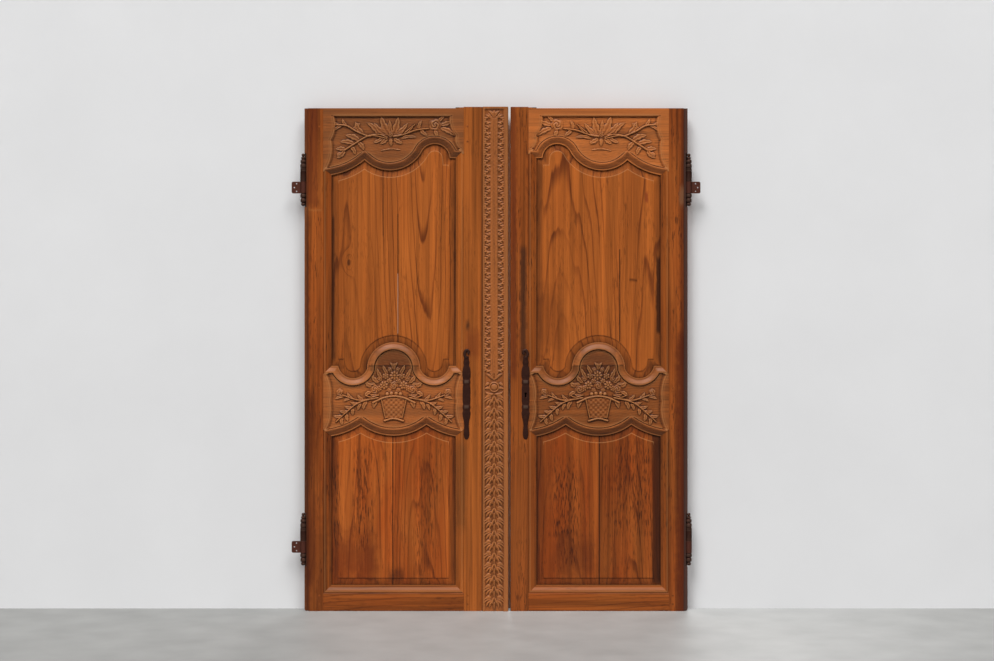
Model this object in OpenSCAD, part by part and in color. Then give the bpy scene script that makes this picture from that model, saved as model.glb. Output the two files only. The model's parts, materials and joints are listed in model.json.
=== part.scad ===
// Pair of carved pine cupboard doors with a carved mullion on the left leaf.
// Each leaf has two stiles, three rails and two fielded panels of two boards.
// +Z is up, the front faces -Y, and the origin is the bottom centre of the pair.
// A leaf is drawn in its own frame: u from its hinge edge, y from its face to the back, z up.

/* [Leaves] */
// Height of the hinge stiles and rails
leaf_h = 1848; // [1780:1:2000]
// Width of one leaf without the mullion
leaf_w = 651; // [630:1:720]
// Thickness of stiles and rails
leaf_t = 30; // [28:0.5:36]
// Width of the mullion on the left leaf
mullion_w = 98.5; // [90:0.5:120]
// How far the mullion stands in front of the leaf
mullion_proud = 6; // [4:0.5:10]
// Open gap between the mullion and the right leaf
meeting_gap = 8.5; // [6:0.5:14]
// Height of the horns of the meeting stiles and the mullion
horn_h = 5; // [2:0.5:12]

/* [Stiles and rails] */
// Full width of a hinge stile
hinge_stile_w = 99.5; // [92:0.5:110]
// Full width of a meeting stile
meeting_stile_w = 95.5; // [90:0.5:105]
// Full height of a bottom rail
bottom_rail_h = 95; // [85:1:130]
// Width of the rebate down the hinge edge
edge_rebate_w = 14; // [10:0.5:18]
// Depth of the rebate down the hinge edge
edge_rebate_d = 6; // [3:0.5:7]
// Height of the plain band along the top of a top rail
top_band_h = 28; // [20:1:36]
// Depth of the carved ground below the face
ground_d = 6; // [4:0.5:8]
// Radius of the outer bottom corners
foot_corner_r = 9; // [4:0.5:14]

/* [Joints and panels] */
// Depth from the face to the panel groove
groove_y = 14; // [12:0.5:16]
// Thickness of the panel groove and the mortises
groove_t = 8; // [7:0.5:10]
// Depth of the panel groove
groove_d = 12; // [9:0.5:14]
// Room left at the bottom of the panel groove
groove_room = 1; // [0.5:0.1:2]
// Side clearance of tongues, tenons and wings
slip = 0.1; // [0.05:0.05:0.3]
// Length of the tenons
tenon_l = 65; // [50:1:75]
// Distance from a tenon to the groove or rail edge
tenon_margin = 20; // [12:1:24]
// Radius of the wooden pegs
peg_r = 4; // [3:0.5:5]
// Distance of the pegs from the rail's shoulder
peg_in = 14; // [9:0.5:18]
// Width of the sloped border around a panel's field
field_margin = 26; // [20:0.5:32]
// Rise of a panel's field above its tongue
field_rise = 5; // [3:0.5:7]
// Distance of the left upper panel's seam from the hinge stile
left_upper_seam_in = 244; // [130:1:300]
// Distance of the right upper panel's seam from the hinge stile
right_upper_seam_in = 150; // [130:1:300]
// Distance of the lower panels' seams from the hinge stile
lower_seam_in = 225; // [150:1:300]
// Shrinkage gap between the boards of a panel
seam_gap = 0.6; // [0.2:0.1:0.9]

/* [Moulding] */
// Width of the moulding around each panel
moulding_w = 30; // [25:0.5:32]
// Depth of the moulding's panel-side edge below the face
mould_edge_d = 8; // [6:0.5:10]
// Rise of the round of the moulding
torus_rise = 6.5; // [4:0.5:7]
// Width of the groove beside the round
quirk_w = 3; // [2:0.5:5]
// Depth of the groove beside the round
quirk_d = 6.5; // [5:0.5:9]

/* [Top rail edge] */
// Drop from the leaf's top to the edge at the hinge stile
top_corner_drop = 245; // [225:1:265]
// Distance from the hinge stile to the cusp
top_cusp_in = 121.5; // [105:0.5:140]
// Drop from the leaf's top to the cusp
top_cusp_drop = 190; // [180:1:205]
// Sag of the scallop beside the hinge stile
top_scallop_sag = 9; // [4:0.5:14]
// Sag of the wide lobe
top_lobe_sag = 50; // [40:1:56]
// Distance from the meeting stile to the turn into the arch
top_ogee_in = 126.7; // [115:0.5:140]
// Drop from the leaf's top to the turn into the arch
top_ogee_drop = 164; // [158:1:172]
// Rise of the arch beside the meeting stile
top_arch_sag = 42.5; // [34:0.5:46]
// Width of the flat ear beside the meeting stile
top_ear_w = 22; // [16:0.5:30]
// Drop from the leaf's top to the ear
top_ear_drop = 182.5; // [176:0.5:190]

/* [Middle rail edges] */
// Height of the upper edge at the stiles
mid_shoulder_z = 901; // [860:1:940]
// Radius of the arched crest, as a share of half the panel's width
mid_arch_share = 0.43; // [0.39:0.005:0.45]
// Drop from the upper edge's ends to the foot of the arch
mid_arch_drop = 11; // [6:1:16]
// Width of the flat between a stile and the scoop beside the arch
mid_flat_w = 24.5; // [18:0.5:32]
// Sag of the scoops, as a share of their width
mid_scoop_share = 0.38; // [0.3:0.01:0.4]
// Height of the lower edge at the stiles
mid_lower_z = 642; // [620:1:660]
// Distance of the lower cusps from the stiles
mid_cusp_in = 107.5; // [95:0.5:120]
// Rise of the lower cusps above the lower edge's ends
mid_cusp_rise = 42.5; // [36:0.5:48]
// Sag of the lower scallops beside the stiles
mid_scallop_sag = 6; // [3:0.5:10]
// Sag of the wide lower lobe
mid_lobe_sag = 40.5; // [34:0.5:48]

/* [Carving] */
// Height of the leaves above the carved ground
leaf_rise = 5; // [3:0.5:5.5]
// Width of the stems
stem_w = 6; // [4:0.5:8]
// Distance of the top rail's palmette from the hinge stile
palm_in = 195.5; // [180:0.5:210]
// Drop from the leaf's top to the palmette's foot
palm_drop = 115; // [108:0.5:122]
// Length of the palmette's middle leaf
palm_l = 76; // [60:1:82]
// Distance of the top rail's rose from the meeting stile
rose_in = 68; // [58:1:80]
// Drop from the leaf's top to the rose
rose_drop = 62; // [56:1:72]
// Radius of the rose
rose_r = 19; // [14:0.5:22]
// Length of the leaves on the twigs
twig_leaf_l = 27; // [20:1:30]
// Distance of the top rail's upper twig from the hinge stile
high_twig_in = 34; // [24:1:50]
// Drop from the leaf's top to the upper twig's tip
high_twig_drop = 58; // [50:1:70]
// Distance of the top rail's lower twig from the hinge stile
low_twig_in = 52; // [40:1:66]
// Drop from the leaf's top to the lower twig's tip
low_twig_drop = 148; // [138:1:156]
// Height of the basket's rim above the middle rail's lower edge
basket_z = 145; // [135:1:155]
// Height of the basket
basket_h = 77; // [65:1:85]
// Width of the basket at its rim
basket_w = 92; // [80:1:105]
// Radius of the flowers in the basket
bloom_r = 15; // [12:0.5:16]
// Distance of the branches' tips from the stiles
branch_in = 40; // [32:1:58]
// Drop of the lower branches below the basket's rim
branch_drop = 72; // [60:1:78]
// Width of the mullion's carved band
band_w = 72; // [60:1:80]
// Distance from the mullion's glued edge to its carved band
band_in = 10; // [9:0.5:14]
// Depth of the mullion's carved band
band_d = 5; // [3:0.5:6]
// Width of the mullion's upper stem
rib_w = 28; // [20:1:32]
// Spacing of the mullion's upper leaves
sprig_pitch = 51; // [40:1:60]
// Spacing of the mullion's lower leaves
laurel_pitch = 42; // [34:1:50]
// Height of the mullion's knot
knot_z = 824; // [780:1:860]
// Radius of the mullion's knot
knot_r = 15; // [10:0.5:18]
// Depth of the shadow groove between stile and mullion
shadow_d = 2; // [1:0.5:4]
// Width of the shadow groove between stile and mullion
shadow_w = 6; // [3:0.5:8]

/* [Hinges] */
// Distance of the hinge axis outside the leaf's edge
hinge_out = 4.4; // [3.5:0.1:6]
// Depth of the hinge axis behind the face
hinge_y = 9; // [8.5:0.1:9.5]
// Radius of the barrels
barrel_r = 11.5; // [10:0.5:13]
// Room around the barrels in the stile
barrel_room = 0.5; // [0.4:0.1:1]
// Height of the foot of the lower hinges
lower_hinge_z = 163.5; // [120:0.5:220]
// Drop from the leaf's top to the foot of the upper hinges
upper_hinge_drop = 362.5; // [340:0.5:420]
// Height of the lower finial
foot_h = 50; // [40:1:60]
// Height of the plate and its knuckle
plate_h = 43; // [38:1:50]
// Height of the door half's barrel
door_barrel_h = 48; // [42:1:56]
// Height of the upper finial
finial_h = 55; // [45:1:65]
// Play between the two halves
hinge_play = 0.3; // [0.2:0.1:0.5]
// Radius of the hinge pin
pin_r = 5; // [4:0.5:6]
// Running clearance of the pin
pin_clear = 0.05; // [0.02:0.01:0.09]
// Depth of the pin in the door half
pin_reach = 40; // [30:1:44]
// Reach of the plate from the hinge axis
plate_reach = 43; // [38:0.5:50]
// Thickness of plates and wings
plate_t = 3; // [2:0.5:4]
// Corner radius of the plate
plate_corner_r = 6; // [3:0.5:8]
// Radius of the plate's screw holes
plate_hole_r = 2.2; // [1.5:0.1:2.8]
// Spacing of the two outer screw holes
plate_hole_gap = 28; // [20:0.5:30]
// Distance of the two outer screw holes from the hinge axis
plate_hole_in = 25; // [20:0.5:27]
// Distance of the middle screw hole from the hinge axis
plate_mid_hole_in = 33; // [31:0.5:35]
// Length of the wing in the stile
wing_l = 40; // [30:1:48]

/* [Lock and bolts] */
// Distance of the escutcheons from the panel
escutcheon_in = 40.5; // [37:0.5:50]
// Height of the escutcheons' middle
escutcheon_z = 799; // [760:1:840]
// Thickness of the escutcheons
escutcheon_t = 2; // [1.5:0.5:3]
// Length of an escutcheon
escutcheon_h = 336; // [300:1:360]
// Half of an escutcheon's width
escutcheon_half = 15; // [12:0.5:17]
// Radius of the keyhole's round
keyhole_r = 4.5; // [4:0.1:5]
// Length of the keyhole's slot below the round
keyhole_slot = 14; // [10:0.5:18]
// Width of the lock case
lock_w = 78; // [70:1:82]
// Height of the lock case
lock_h = 112; // [96:1:130]
// Depth of the lock case
lock_d = 18; // [15:0.5:21]
// Wall of the lock case
lock_wall = 2.5; // [2:0.5:4]
// Distance of the lock case from the meeting edge
lock_in = 5; // [3:0.5:8]
// Height of the lock bolt's middle above the keyhole
lock_bolt_rise = 31; // [27:0.5:36]
// Height of the lock bolt
lock_bolt_h = 14; // [10:0.5:16]
// Thickness of the lock bolt
lock_bolt_t = 8; // [6:0.5:9]
// Clearance around sliding bolts
bolt_clear = 0.3; // [0.2:0.05:0.5]
// Width of the keeper
keeper_w = 22; // [16:1:26]
// Distance of the keeper from the mullion's free edge
keeper_in = 3; // [2:0.5:6]
// Side of the square door bolts
bolt_side = 10; // [8:0.5:12]
// Length of the door bolts
bolt_l = 158; // [140:1:180]
// Distance of the door bolts from the meeting edge
bolt_in = 40; // [34:1:44]
// Height of a door bolt's plate
bolt_plate_h = 126; // [112:1:140]
// Distance of a retracted bolt from the stile's end
bolt_end_in = 6; // [2:0.5:10]
// Length of a retracted bolt past its plate
bolt_past_plate = 18; // [14:0.5:24]
// Height of the guides on a door bolt's plate
guide_h = 12; // [9:0.5:16]
// Wall of keeper and bolt guides
guide_wall = 5; // [4:0.5:6]
// Radius of the nail heads
nail_head_r = 3; // [2.5:0.1:3.5]
// Height of the nail heads
nail_head_h = 1.6; // [1:0.1:2.5]
// Radius of the nail shanks
nail_r = 1.2; // [1:0.1:1.5]
// Length of the nail shanks
nail_l = 9; // [7:0.5:9.5]

/* [Hidden] */
$fn = 48;
peg_sides = 8;
pine = "#a0582a";
pine_carved = "#9a5228";
pine_panel = "#a8622f";
iron = "#3a2c28";
plate_iron = "#5c3a35";
peg_wood = "#7a431f";

leaf_gap = mullion_w + meeting_gap;
half_w = leaf_w + leaf_gap / 2;
back_y = max(leaf_t + lock_d + nail_head_h, hinge_y + plate_reach);
face_y = (mullion_proud - back_y) / 2;
hinge_x = half_w + hinge_out;

sight_l = hinge_stile_w;
sight_r = leaf_w - meeting_stile_w;
mid_u = (sight_l + sight_r) / 2;
panel_half = sight_r - mid_u;
shoulder_l = sight_l - moulding_w;
shoulder_r = sight_r + moulding_w;
horn_z = leaf_h + horn_h;
tongue_back = groove_y + groove_t;
mid_arch_r = panel_half * mid_arch_share;
mid_scoop_w = panel_half - mid_arch_r - mid_flat_w;
mid_scoop_sag = mid_scoop_w * mid_scoop_share;
crest_half = mid_arch_r + 1;

escutcheon_u = sight_r + escutcheon_in;
lock_bolt_z = escutcheon_z + lock_bolt_rise;
lock_u = leaf_w - lock_in - lock_w;
lock_bolt_y = leaf_t + (lock_d - lock_wall - lock_bolt_t) / 2;
keeper_u = leaf_w + mullion_w - keeper_in - keeper_w;
bolt_u = leaf_w - bolt_in;
mullion_mid = leaf_w + band_in + band_w / 2;

lock_nail_in = 2 * nail_head_r;
bolt_plate_half = bolt_side / 2 + guide_wall + 2 * lock_nail_in;
bolt_y = leaf_t + plate_t + bolt_clear;

// Overlap of the solids that make up one rail
edge_lap = 1;
tenon_lap = 5;

// Depth of the curves of a carved ground's ends
bracket_d = 9;

hinge_feet = [lower_hinge_z, leaf_h - upper_hinge_drop];
knuckle_z = foot_h;
door_barrel_z = foot_h + plate_h + hinge_play;
hinge_h = door_barrel_z + door_barrel_h + finial_h;

tenons = [
    [tenon_margin / 2, bottom_rail_h - groove_d - tenon_margin / 2],
    [mid_lower_z + groove_d + tenon_margin, mid_shoulder_z - groove_d - tenon_margin],
    [leaf_h - top_ear_drop + groove_d + tenon_margin, leaf_h - 2 * tenon_margin]
];

// Points of an arc from p to q, without p; sag is the rise to the left of the way from p to q
function arc_to(p, q, sag, n) =
    let (
        way = q - p,
        half = norm(way) / 2,
        left = [-way[1], way[0]] / norm(way),
        r = (half * half + sag * sag) / (2 * sag),
        c = (p + q) / 2 + left * (sag - r),
        start = atan2(p[1] - c[1], p[0] - c[0]),
        sweep = -4 * atan(sag / half)
    )
    [for (i = [1:n]) c + abs(r) * [cos(start + sweep * i / n), sin(start + sweep * i / n)]];

function left_of(a, b) = [a[1] - b[1], b[0] - a[0]] / norm(b - a);
function turned(a) = [cos(a), sin(a)];
function mixed(a, b, t) = a + (b - a) * t;

// End of an edge moved by d, cut on the mitre with an upright edge on its side
function mitred_end(p, n, d, side) = p + n * d + [n[1], -n[0]] * ((side - n[0]) * d / n[1]);

// An edge of a rail moved by d into the rail, which lies to its left
function moved(path, d) =
    let (last = len(path) - 1, side = path[0][0] < path[last][0] ? -1 : 1)
    [for (i = [0:last])
        i == 0 ? mitred_end(path[0], left_of(path[0], path[1]), d, side) :
        i == last ? mitred_end(path[last], left_of(path[last - 1], path[last]), d, -side) :
        let (m = left_of(path[i - 1], path[i]), n = left_of(path[i], path[i + 1]))
        path[i] + (m + n) * d / (1 + m * n)];

top_a = [sight_l, leaf_h - top_corner_drop];
top_b = [sight_l + top_cusp_in, leaf_h - top_cusp_drop];
top_c = [sight_r - top_ogee_in, leaf_h - top_ogee_drop];
top_d = [sight_r - top_ear_w, leaf_h - top_ear_drop];
top_edge = concat(
    [top_a],
    arc_to(top_a, top_b, -top_scallop_sag, 5),
    arc_to(top_b, top_c, -top_lobe_sag, 12),
    arc_to(top_c, top_d, top_arch_sag, 6),
    [[sight_r, leaf_h - top_ear_drop]]
);

arch_z = mid_shoulder_z - mid_arch_drop;
scoop_l = [mid_u - mid_arch_r - mid_scoop_w, mid_shoulder_z];
scoop_r = [mid_u + mid_arch_r + mid_scoop_w, mid_shoulder_z];
arch_l = [mid_u - mid_arch_r, arch_z];
arch_r = [mid_u + mid_arch_r, arch_z];
mid_upper_edge = concat(
    [[sight_r, mid_shoulder_z], scoop_r],
    arc_to(scoop_r, arch_r, mid_scoop_sag, 6),
    arc_to(arch_r, arch_l, -mid_arch_r, 16),
    arc_to(arch_l, scoop_l, mid_scoop_sag, 6),
    [[sight_l, mid_shoulder_z]]
);

cusp_l = [sight_l + mid_cusp_in, mid_lower_z + mid_cusp_rise];
cusp_r = [sight_r - mid_cusp_in, mid_lower_z + mid_cusp_rise];
mid_lower_edge = concat(
    [[sight_l, mid_lower_z]],
    arc_to([sight_l, mid_lower_z], cusp_l, -mid_scallop_sag, 4),
    arc_to(cusp_l, cusp_r, -mid_lobe_sag, 12),
    arc_to(cusp_r, [sight_r, mid_lower_z], -mid_scallop_sag, 4)
);

bottom_edge = [[sight_r, bottom_rail_h], [sight_l, bottom_rail_h]];

// Mitre tips of the rails' mouldings on the stiles
top_tip = moved(top_edge, moulding_w)[0];
ear_tip = moved(top_edge, moulding_w)[len(top_edge) - 1];
mid_upper_tip_z = mid_shoulder_z - moulding_w;
mid_lower_tip_z = moved(mid_lower_edge, moulding_w)[0][1];
bottom_tip_z = bottom_rail_h - moulding_w;

// Sections of the moulding, of a straight run and of a carved rail's edge:
// distance from the panel-side edge, depth below the face
mould_face = concat(
    [[0, mould_edge_d]],
    arc_to([0, mould_edge_d], [moulding_w - quirk_w, quirk_d], -torus_rise, 5),
    [[moulding_w, quirk_d]]
);
run_section = concat([[0, groove_y]], mould_face, [[moulding_w, groove_y]]);
edge_section = concat(
    [[moulding_w, leaf_t], [0, leaf_t], [0, tongue_back - slip], [groove_d - slip, tongue_back - slip],
        [groove_d - slip, groove_y - slip], [0, groove_y - slip]],
    mould_face
);

function reversed(list) = [for (i = [len(list) - 1:-1:0]) list[i]];
function without_ends(list) = [for (i = [1:len(list) - 2]) list[i]];

// Edge of a rail's core under its moulding, its ends drawn in from the mitres
function core_edge(path) =
    let (
        m = moved(path, moulding_w - edge_lap),
        last = len(path) - 1,
        ahead = path[0][0] < path[last][0] ? edge_lap : -edge_lap
    )
    concat([m[0] + [ahead, 0]], without_ends(m), [m[last] - [ahead, 0]]);

// Edge of a carved ground, hidden under the moulding beside it
function ground_edge(path) = without_ends(moved(path, moulding_w - 2 * edge_lap));

// Flat shape in u and z, as a slab between two depths
module slab(y0, y1) {
    translate([0, y1, 0]) rotate([90, 0, 0]) linear_extrude(y1 - y0) children();
}

module box(u0, u1, y0, y1, z0, z1) {
    translate([u0, y0, z0]) cube([u1 - u0, y1 - y0, z1 - z0]);
}

module place_left() {
    translate([-half_w, face_y, 0]) children();
}

module place_right() {
    mirror([1, 0, 0]) place_left() children();
}

// Moulding, groove and back of a rail along its edge
module moulded_edge(path) {
    m = len(edge_section);
    n = len(path);
    rows = [for (s = edge_section) moved(path, s[0])];
    points = [for (i = [0:n - 1]) for (j = [0:m - 1])
        [rows[j][i][0], edge_section[j][1], rows[j][i][1]]];
    sides = [for (i = [0:n - 2]) for (j = [0:m - 1])
        [i * m + j, i * m + (j + 1) % m, (i + 1) * m + (j + 1) % m, (i + 1) * m + j]];
    ends = [[for (j = [m - 1:-1:0]) j], [for (j = [0:m - 1]) (n - 1) * m + j]];
    polyhedron(points, concat(sides, ends));
}

// Smallest solid around a few points
module chip(points) {
    hull() polyhedron(points, [[0, 1, 2], [for (i = [0:len(points) - 1]) i]]);
}

// Point at a height above the carved ground, sunk a little where the height is negative
function on_ground(p, h) = [p[0], ground_d - h, p[1]];

// Carved leaf from its root p to its tip q
module leaf(p, q, w, rise = leaf_rise) {
    way = q - p;
    side = [-way[1], way[0]] / norm(way) * w / 2;
    chip([
        on_ground(p, -1), on_ground(p + way * 0.45 + side, -1), on_ground(q, -1),
        on_ground(p + way * 0.45 - side, -1), on_ground(p + way * 0.5, rise)
    ]);
}

// Carved stem along points
module stem(path, w = stem_w, rise = leaf_rise * 0.7) {
    for (i = [0:len(path) - 2]) {
        side = left_of(path[i], path[i + 1]) * w / 2;
        chip([
            on_ground(path[i] + side, -1), on_ground(path[i] - side, -1),
            on_ground(path[i + 1] + side, -1), on_ground(path[i + 1] - side, -1),
            on_ground(path[i], rise), on_ground(path[i + 1], rise)
        ]);
    }
}

// Carved twig on an arc, with pairs of leaves that get shorter towards its tip
module twig(p, q, sag, pairs, leaf_l = twig_leaf_l) {
    way = concat([p], arc_to(p, q, sag, pairs + 1));
    stem([for (i = [0:2:pairs + 1]) way[i]]);
    for (i = [1:pairs], s = [-1, 1]) {
        ahead = atan2(way[i + 1][1] - way[i][1], way[i + 1][0] - way[i][0]);
        l = leaf_l * (1.1 - 0.4 * i / pairs);
        leaf(way[i] + stem_w / 3 * turned(ahead + s * 48), way[i] + l * turned(ahead + s * 48), l * 0.42);
    }
    tip = (way[pairs + 1] - way[pairs]) / norm(way[pairs + 1] - way[pairs]);
    leaf(q - tip * stem_w, q + tip * leaf_l * 0.8, leaf_l * 0.4);
}

// Carved round flower head
module bloom(c, r) {
    chip(concat(
        [for (i = [0:6]) on_ground(c + turned(i * 360 / 7) * r, -1)],
        [for (i = [0:6]) on_ground(c + turned(i * 360 / 7 + 13) * r * 0.62, leaf_rise * 0.9)]
    ));
}

// Carved rose: petals around a bud
module rose(c, r) {
    for (i = [0:4]) leaf(c + turned(72 * i + 18) * r * 0.2, c + turned(72 * i + 18) * r, r * 0.9);
    bloom(c, r * 0.42);
}

// Curved border at one end of a carved ground, as points from its top to its foot
function border(top, cusp, foot, sag) = concat([top], arc_to(top, cusp, sag, 4), arc_to(cusp, foot, sag, 4));

module peg_holes(r) {
    for (t = tenons, k = [0.25, 0.75], u = [shoulder_l - peg_in, shoulder_r + peg_in])
        translate([u, -1, mixed(t[0], t[1], k)]) rotate([-90, 0, 0])
            cylinder(r = r, h = leaf_t + 2, $fn = peg_sides);
}

// Tenons of a rail at both ends, and the haunches that fill the stiles' grooves beside them
module tenon_pair(t, haunch_l, haunch_r) {
    y0 = groove_y + slip;
    y1 = tongue_back - slip;
    box(sight_l - tenon_l, sight_l + tenon_lap, y0, y1, t[0] + slip, t[1] - slip);
    box(sight_r - tenon_lap, sight_r + tenon_l, y0, y1, t[0] + slip, t[1] - slip);
    box(sight_l - groove_d + slip, sight_l + tenon_lap, y0, y1, haunch_l[0], haunch_l[1]);
    box(sight_r - tenon_lap, sight_r + groove_d - slip, y0, y1, haunch_r[0], haunch_r[1]);
}

// Palmette, twigs and rose of a top rail
module top_carving() {
    palm = [sight_l + palm_in, leaf_h - palm_drop];
    heart = palm + [0, palm_l * 0.2];
    rose_c = [sight_r - rose_in, leaf_h - rose_drop];
    for (i = [-3:3]) {
        way = turned(90 + 26 * i);
        leaf(palm + way * palm_l * 0.1, palm + way * palm_l * (1 - 0.12 * abs(i)), palm_l * 0.25);
    }
    for (a = [-90, -31, 211]) leaf(palm, palm + turned(a) * palm_l * 0.5, palm_l * 0.17);
    bloom(heart, palm_l * 0.17);
    twig(palm - [palm_l * 0.3, 0], [sight_l + high_twig_in, leaf_h - high_twig_drop], stem_w * 1.5, 5);
    twig(palm - [palm_l * 0.4, stem_w], [sight_l + low_twig_in, leaf_h - low_twig_drop], -stem_w * 1.5, 5);
    twig(heart + [palm_l * 0.35, 0], rose_c - [rose_r * 1.3, stem_w], stem_w * 1.3, 5);
    rose(rose_c, rose_r);
    for (a = [-75, -40, 15, 60, 130, 250])
        leaf(rose_c + turned(a) * rose_r * 0.9, rose_c + turned(a) * rose_r * 2.4, rose_r * 0.8);
}

// Flower basket and branches of a middle rail
module middle_carving() {
    rim_z = mid_lower_z + basket_z;
    foot_z = rim_z - basket_h;
    rim_half = basket_w / 2;
    foot_half = rim_half * 0.68;
    rim = [mid_u - rim_half, rim_z - stem_w * 0.7];
    foot = [mid_u - rim_half, foot_z - stem_w];
    stem(concat([rim], arc_to(rim, rim + [basket_w, 0], stem_w * 1.5, 4)), stem_w * 1.3, leaf_rise);
    stem(concat([foot], arc_to(foot, foot + [basket_w, 0], stem_w * 1.3, 3)), stem_w * 1.3, leaf_rise);
    for (k = [-0.87, -0.435, 0, 0.435, 0.87])
        stem([[mid_u + rim_half * k, rim_z - 1], [mid_u + foot_half * k, foot_z - 1]], stem_w * 1.5);
    for (k = [0.25, 0.5, 0.75]) {
        half = mixed(foot_half, rim_half, k);
        z = mixed(foot_z, rim_z, k);
        stem([[mid_u - half, z], [mid_u + half, z]], stem_w * 1.3, leaf_rise * 0.5);
    }
    branch_reach = panel_half - branch_in;
    for (s = [-1, 1]) {
        tip = [mid_u + s * branch_reach, rim_z];
        twig([mid_u + s * rim_half, rim_z], tip, -s * stem_w * 2.5, 5);
        twig([mid_u + s * branch_reach / 2, rim_z - stem_w * 2], tip - [0, branch_drop],
            s * stem_w * 2.3, 4, twig_leaf_l * 0.9);
        for (p = [[1.05, 1.35], [3.05, 1.75], [2.05, 3.6], [0.95, 5.5]])
            bloom([mid_u + s * bloom_r * p[0], rim_z + bloom_r * p[1]], bloom_r);
        spray = [mid_u + s * bloom_r * 2.9, rim_z + bloom_r * 3.5];
        for (a = [15, 55])
            leaf(spray, spray + twig_leaf_l * 1.25 * [s * cos(a), sin(a)], twig_leaf_l * 0.5);
    }
    bloom([mid_u, rim_z + bloom_r * 3.7], bloom_r);
    leaf([mid_u, rim_z + bloom_r * 6.3], [mid_u, rim_z + bloom_r * 8.3], bloom_r);
}

// Stem and leaves, knot and laurel of the mullion, drawn on the ground of its band
module mullion_carving() {
    reach = band_w / 2 - 3;
    knot_top = knot_z + 2.6 * knot_r;
    sprigs = floor((leaf_h - top_band_h - knot_top) / sprig_pitch);
    laurels = floor((knot_z - 2 * knot_r) / laurel_pitch);
    stem([[mullion_mid, knot_top], [mullion_mid, leaf_h - top_band_h - stem_w]], rib_w, leaf_rise * 0.6);
    for (i = [0:sprigs - 1], s = [-1, 1], k = [0, 1]) {
        z = knot_top + (i + k / 2) * sprig_pitch;
        root = [mullion_mid + s * rib_w * 0.4, z];
        leaf(root, [mullion_mid + s * reach, z + sprig_pitch * (0.33 - 0.2 * k)], sprig_pitch * 0.42);
    }
    for (i = [0:laurels - 1]) {
        z = knot_z - 1.8 * knot_r - (i + 1) * laurel_pitch;
        leaf([mullion_mid, z], [mullion_mid, z + laurel_pitch * 1.05], laurel_pitch * 0.48);
        for (s = [-1, 1], k = [0, 1])
            leaf([mullion_mid + s * laurel_pitch * 0.2, z + laurel_pitch * (0.48 + 0.43 * k)],
                [mullion_mid + s * reach, z + laurel_pitch * (0.1 + 0.48 * k)], laurel_pitch * 0.4);
    }
    for (s = [-1, 1]) {
        leaf([mullion_mid, knot_z + 1.4 * knot_r], [mullion_mid + s * reach, knot_top], knot_r * 0.8);
        leaf([mullion_mid, knot_z - 1.2 * knot_r], [mullion_mid + s * reach, knot_z - 1.4 * knot_r],
            knot_r * 0.9);
    }
    bloom([mullion_mid, knot_z], knot_r);
}

// Stile from its outer edge at u = 0 to its panel-side edge at u = w; corner is the top rail's edge there
module stile(w, top_z, corner_z, tip_z) {
    face_w = w - moulding_w;
    runs = [
        [bottom_tip_z, bottom_rail_h, mid_lower_z, mid_lower_tip_z],
        [mid_upper_tip_z, mid_shoulder_z, corner_z, tip_z]
    ];
    difference() {
        union() {
            box(0, face_w, 0, leaf_t, 0, top_z);
            box(face_w - 1, w, groove_y, leaf_t, 0, top_z);
            for (r = runs) intersection() {
                translate([0, 0, r[0]]) linear_extrude(r[3] - r[0])
                    polygon([for (s = run_section) [w - s[0], s[1]]]);
                slab(0, groove_y) polygon([[face_w, r[0]], [w, r[1]], [w, r[2]], [face_w, r[3]]]);
            }
        }
        box(w - groove_d, w + 1, groove_y, tongue_back, -1, top_z + 1);
        for (t = tenons) box(w - tenon_l - slip, w + 1, groove_y, tongue_back, t[0], t[1]);
    }
}

// Waste outside the round of an outer bottom corner
module foot_corner() {
    difference() {
        box(-1, foot_corner_r, -1, leaf_t + 1, -1, foot_corner_r);
        translate([foot_corner_r, -2, foot_corner_r]) rotate([-90, 0, 0])
            cylinder(r = foot_corner_r, h = leaf_t + 4);
    }
}

module hinge_stile() {
    difference() {
        stile(hinge_stile_w, leaf_h, top_a[1], top_tip[1]);
        box(-1, edge_rebate_w, -1, edge_rebate_d, -1, leaf_h + 1);
        foot_corner();
        peg_holes(peg_r + slip);
        for (z = hinge_feet) {
            translate([-hinge_out, hinge_y, z - 2 * barrel_room])
                cylinder(r = barrel_r + barrel_room, h = hinge_h + 4 * barrel_room);
            translate([0, 0, z + door_barrel_z]) box(-1, wing_l + slip, hinge_y - plate_t / 2 - slip,
                hinge_y + plate_t / 2 + slip, -slip, door_barrel_h + slip);
        }
    }
}

module meeting_stile(with_lock) {
    difference() {
        translate([leaf_w, 0, 0]) mirror([1, 0, 0])
            stile(meeting_stile_w, horn_z, leaf_h - top_ear_drop, ear_tip[1]);
        peg_holes(peg_r + slip);
        escutcheon_nail_places() nail_hole();
        if (with_lock) {
            slab(-1, leaf_t + 1) keyhole();
            lock_nail_places() nail_hole();
        } else {
            for (end = [0, 1]) bolt_nail_places(end) nail_hole();
        }
    }
}

// Core of a carved rail with its ground sunk, and its moulded edges
module carved_rail(outline, ground, edges) {
    difference() {
        union() {
            difference() {
                slab(0, leaf_t) polygon(outline);
                slab(-1, ground_d) polygon(ground);
            }
            for (e = edges) moulded_edge(e);
        }
        box(-1, sight_l, groove_y, leaf_t + 1, -1, leaf_h + 1);
        box(sight_r, leaf_w + 1, groove_y, leaf_t + 1, -1, leaf_h + 1);
    }
}

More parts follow.
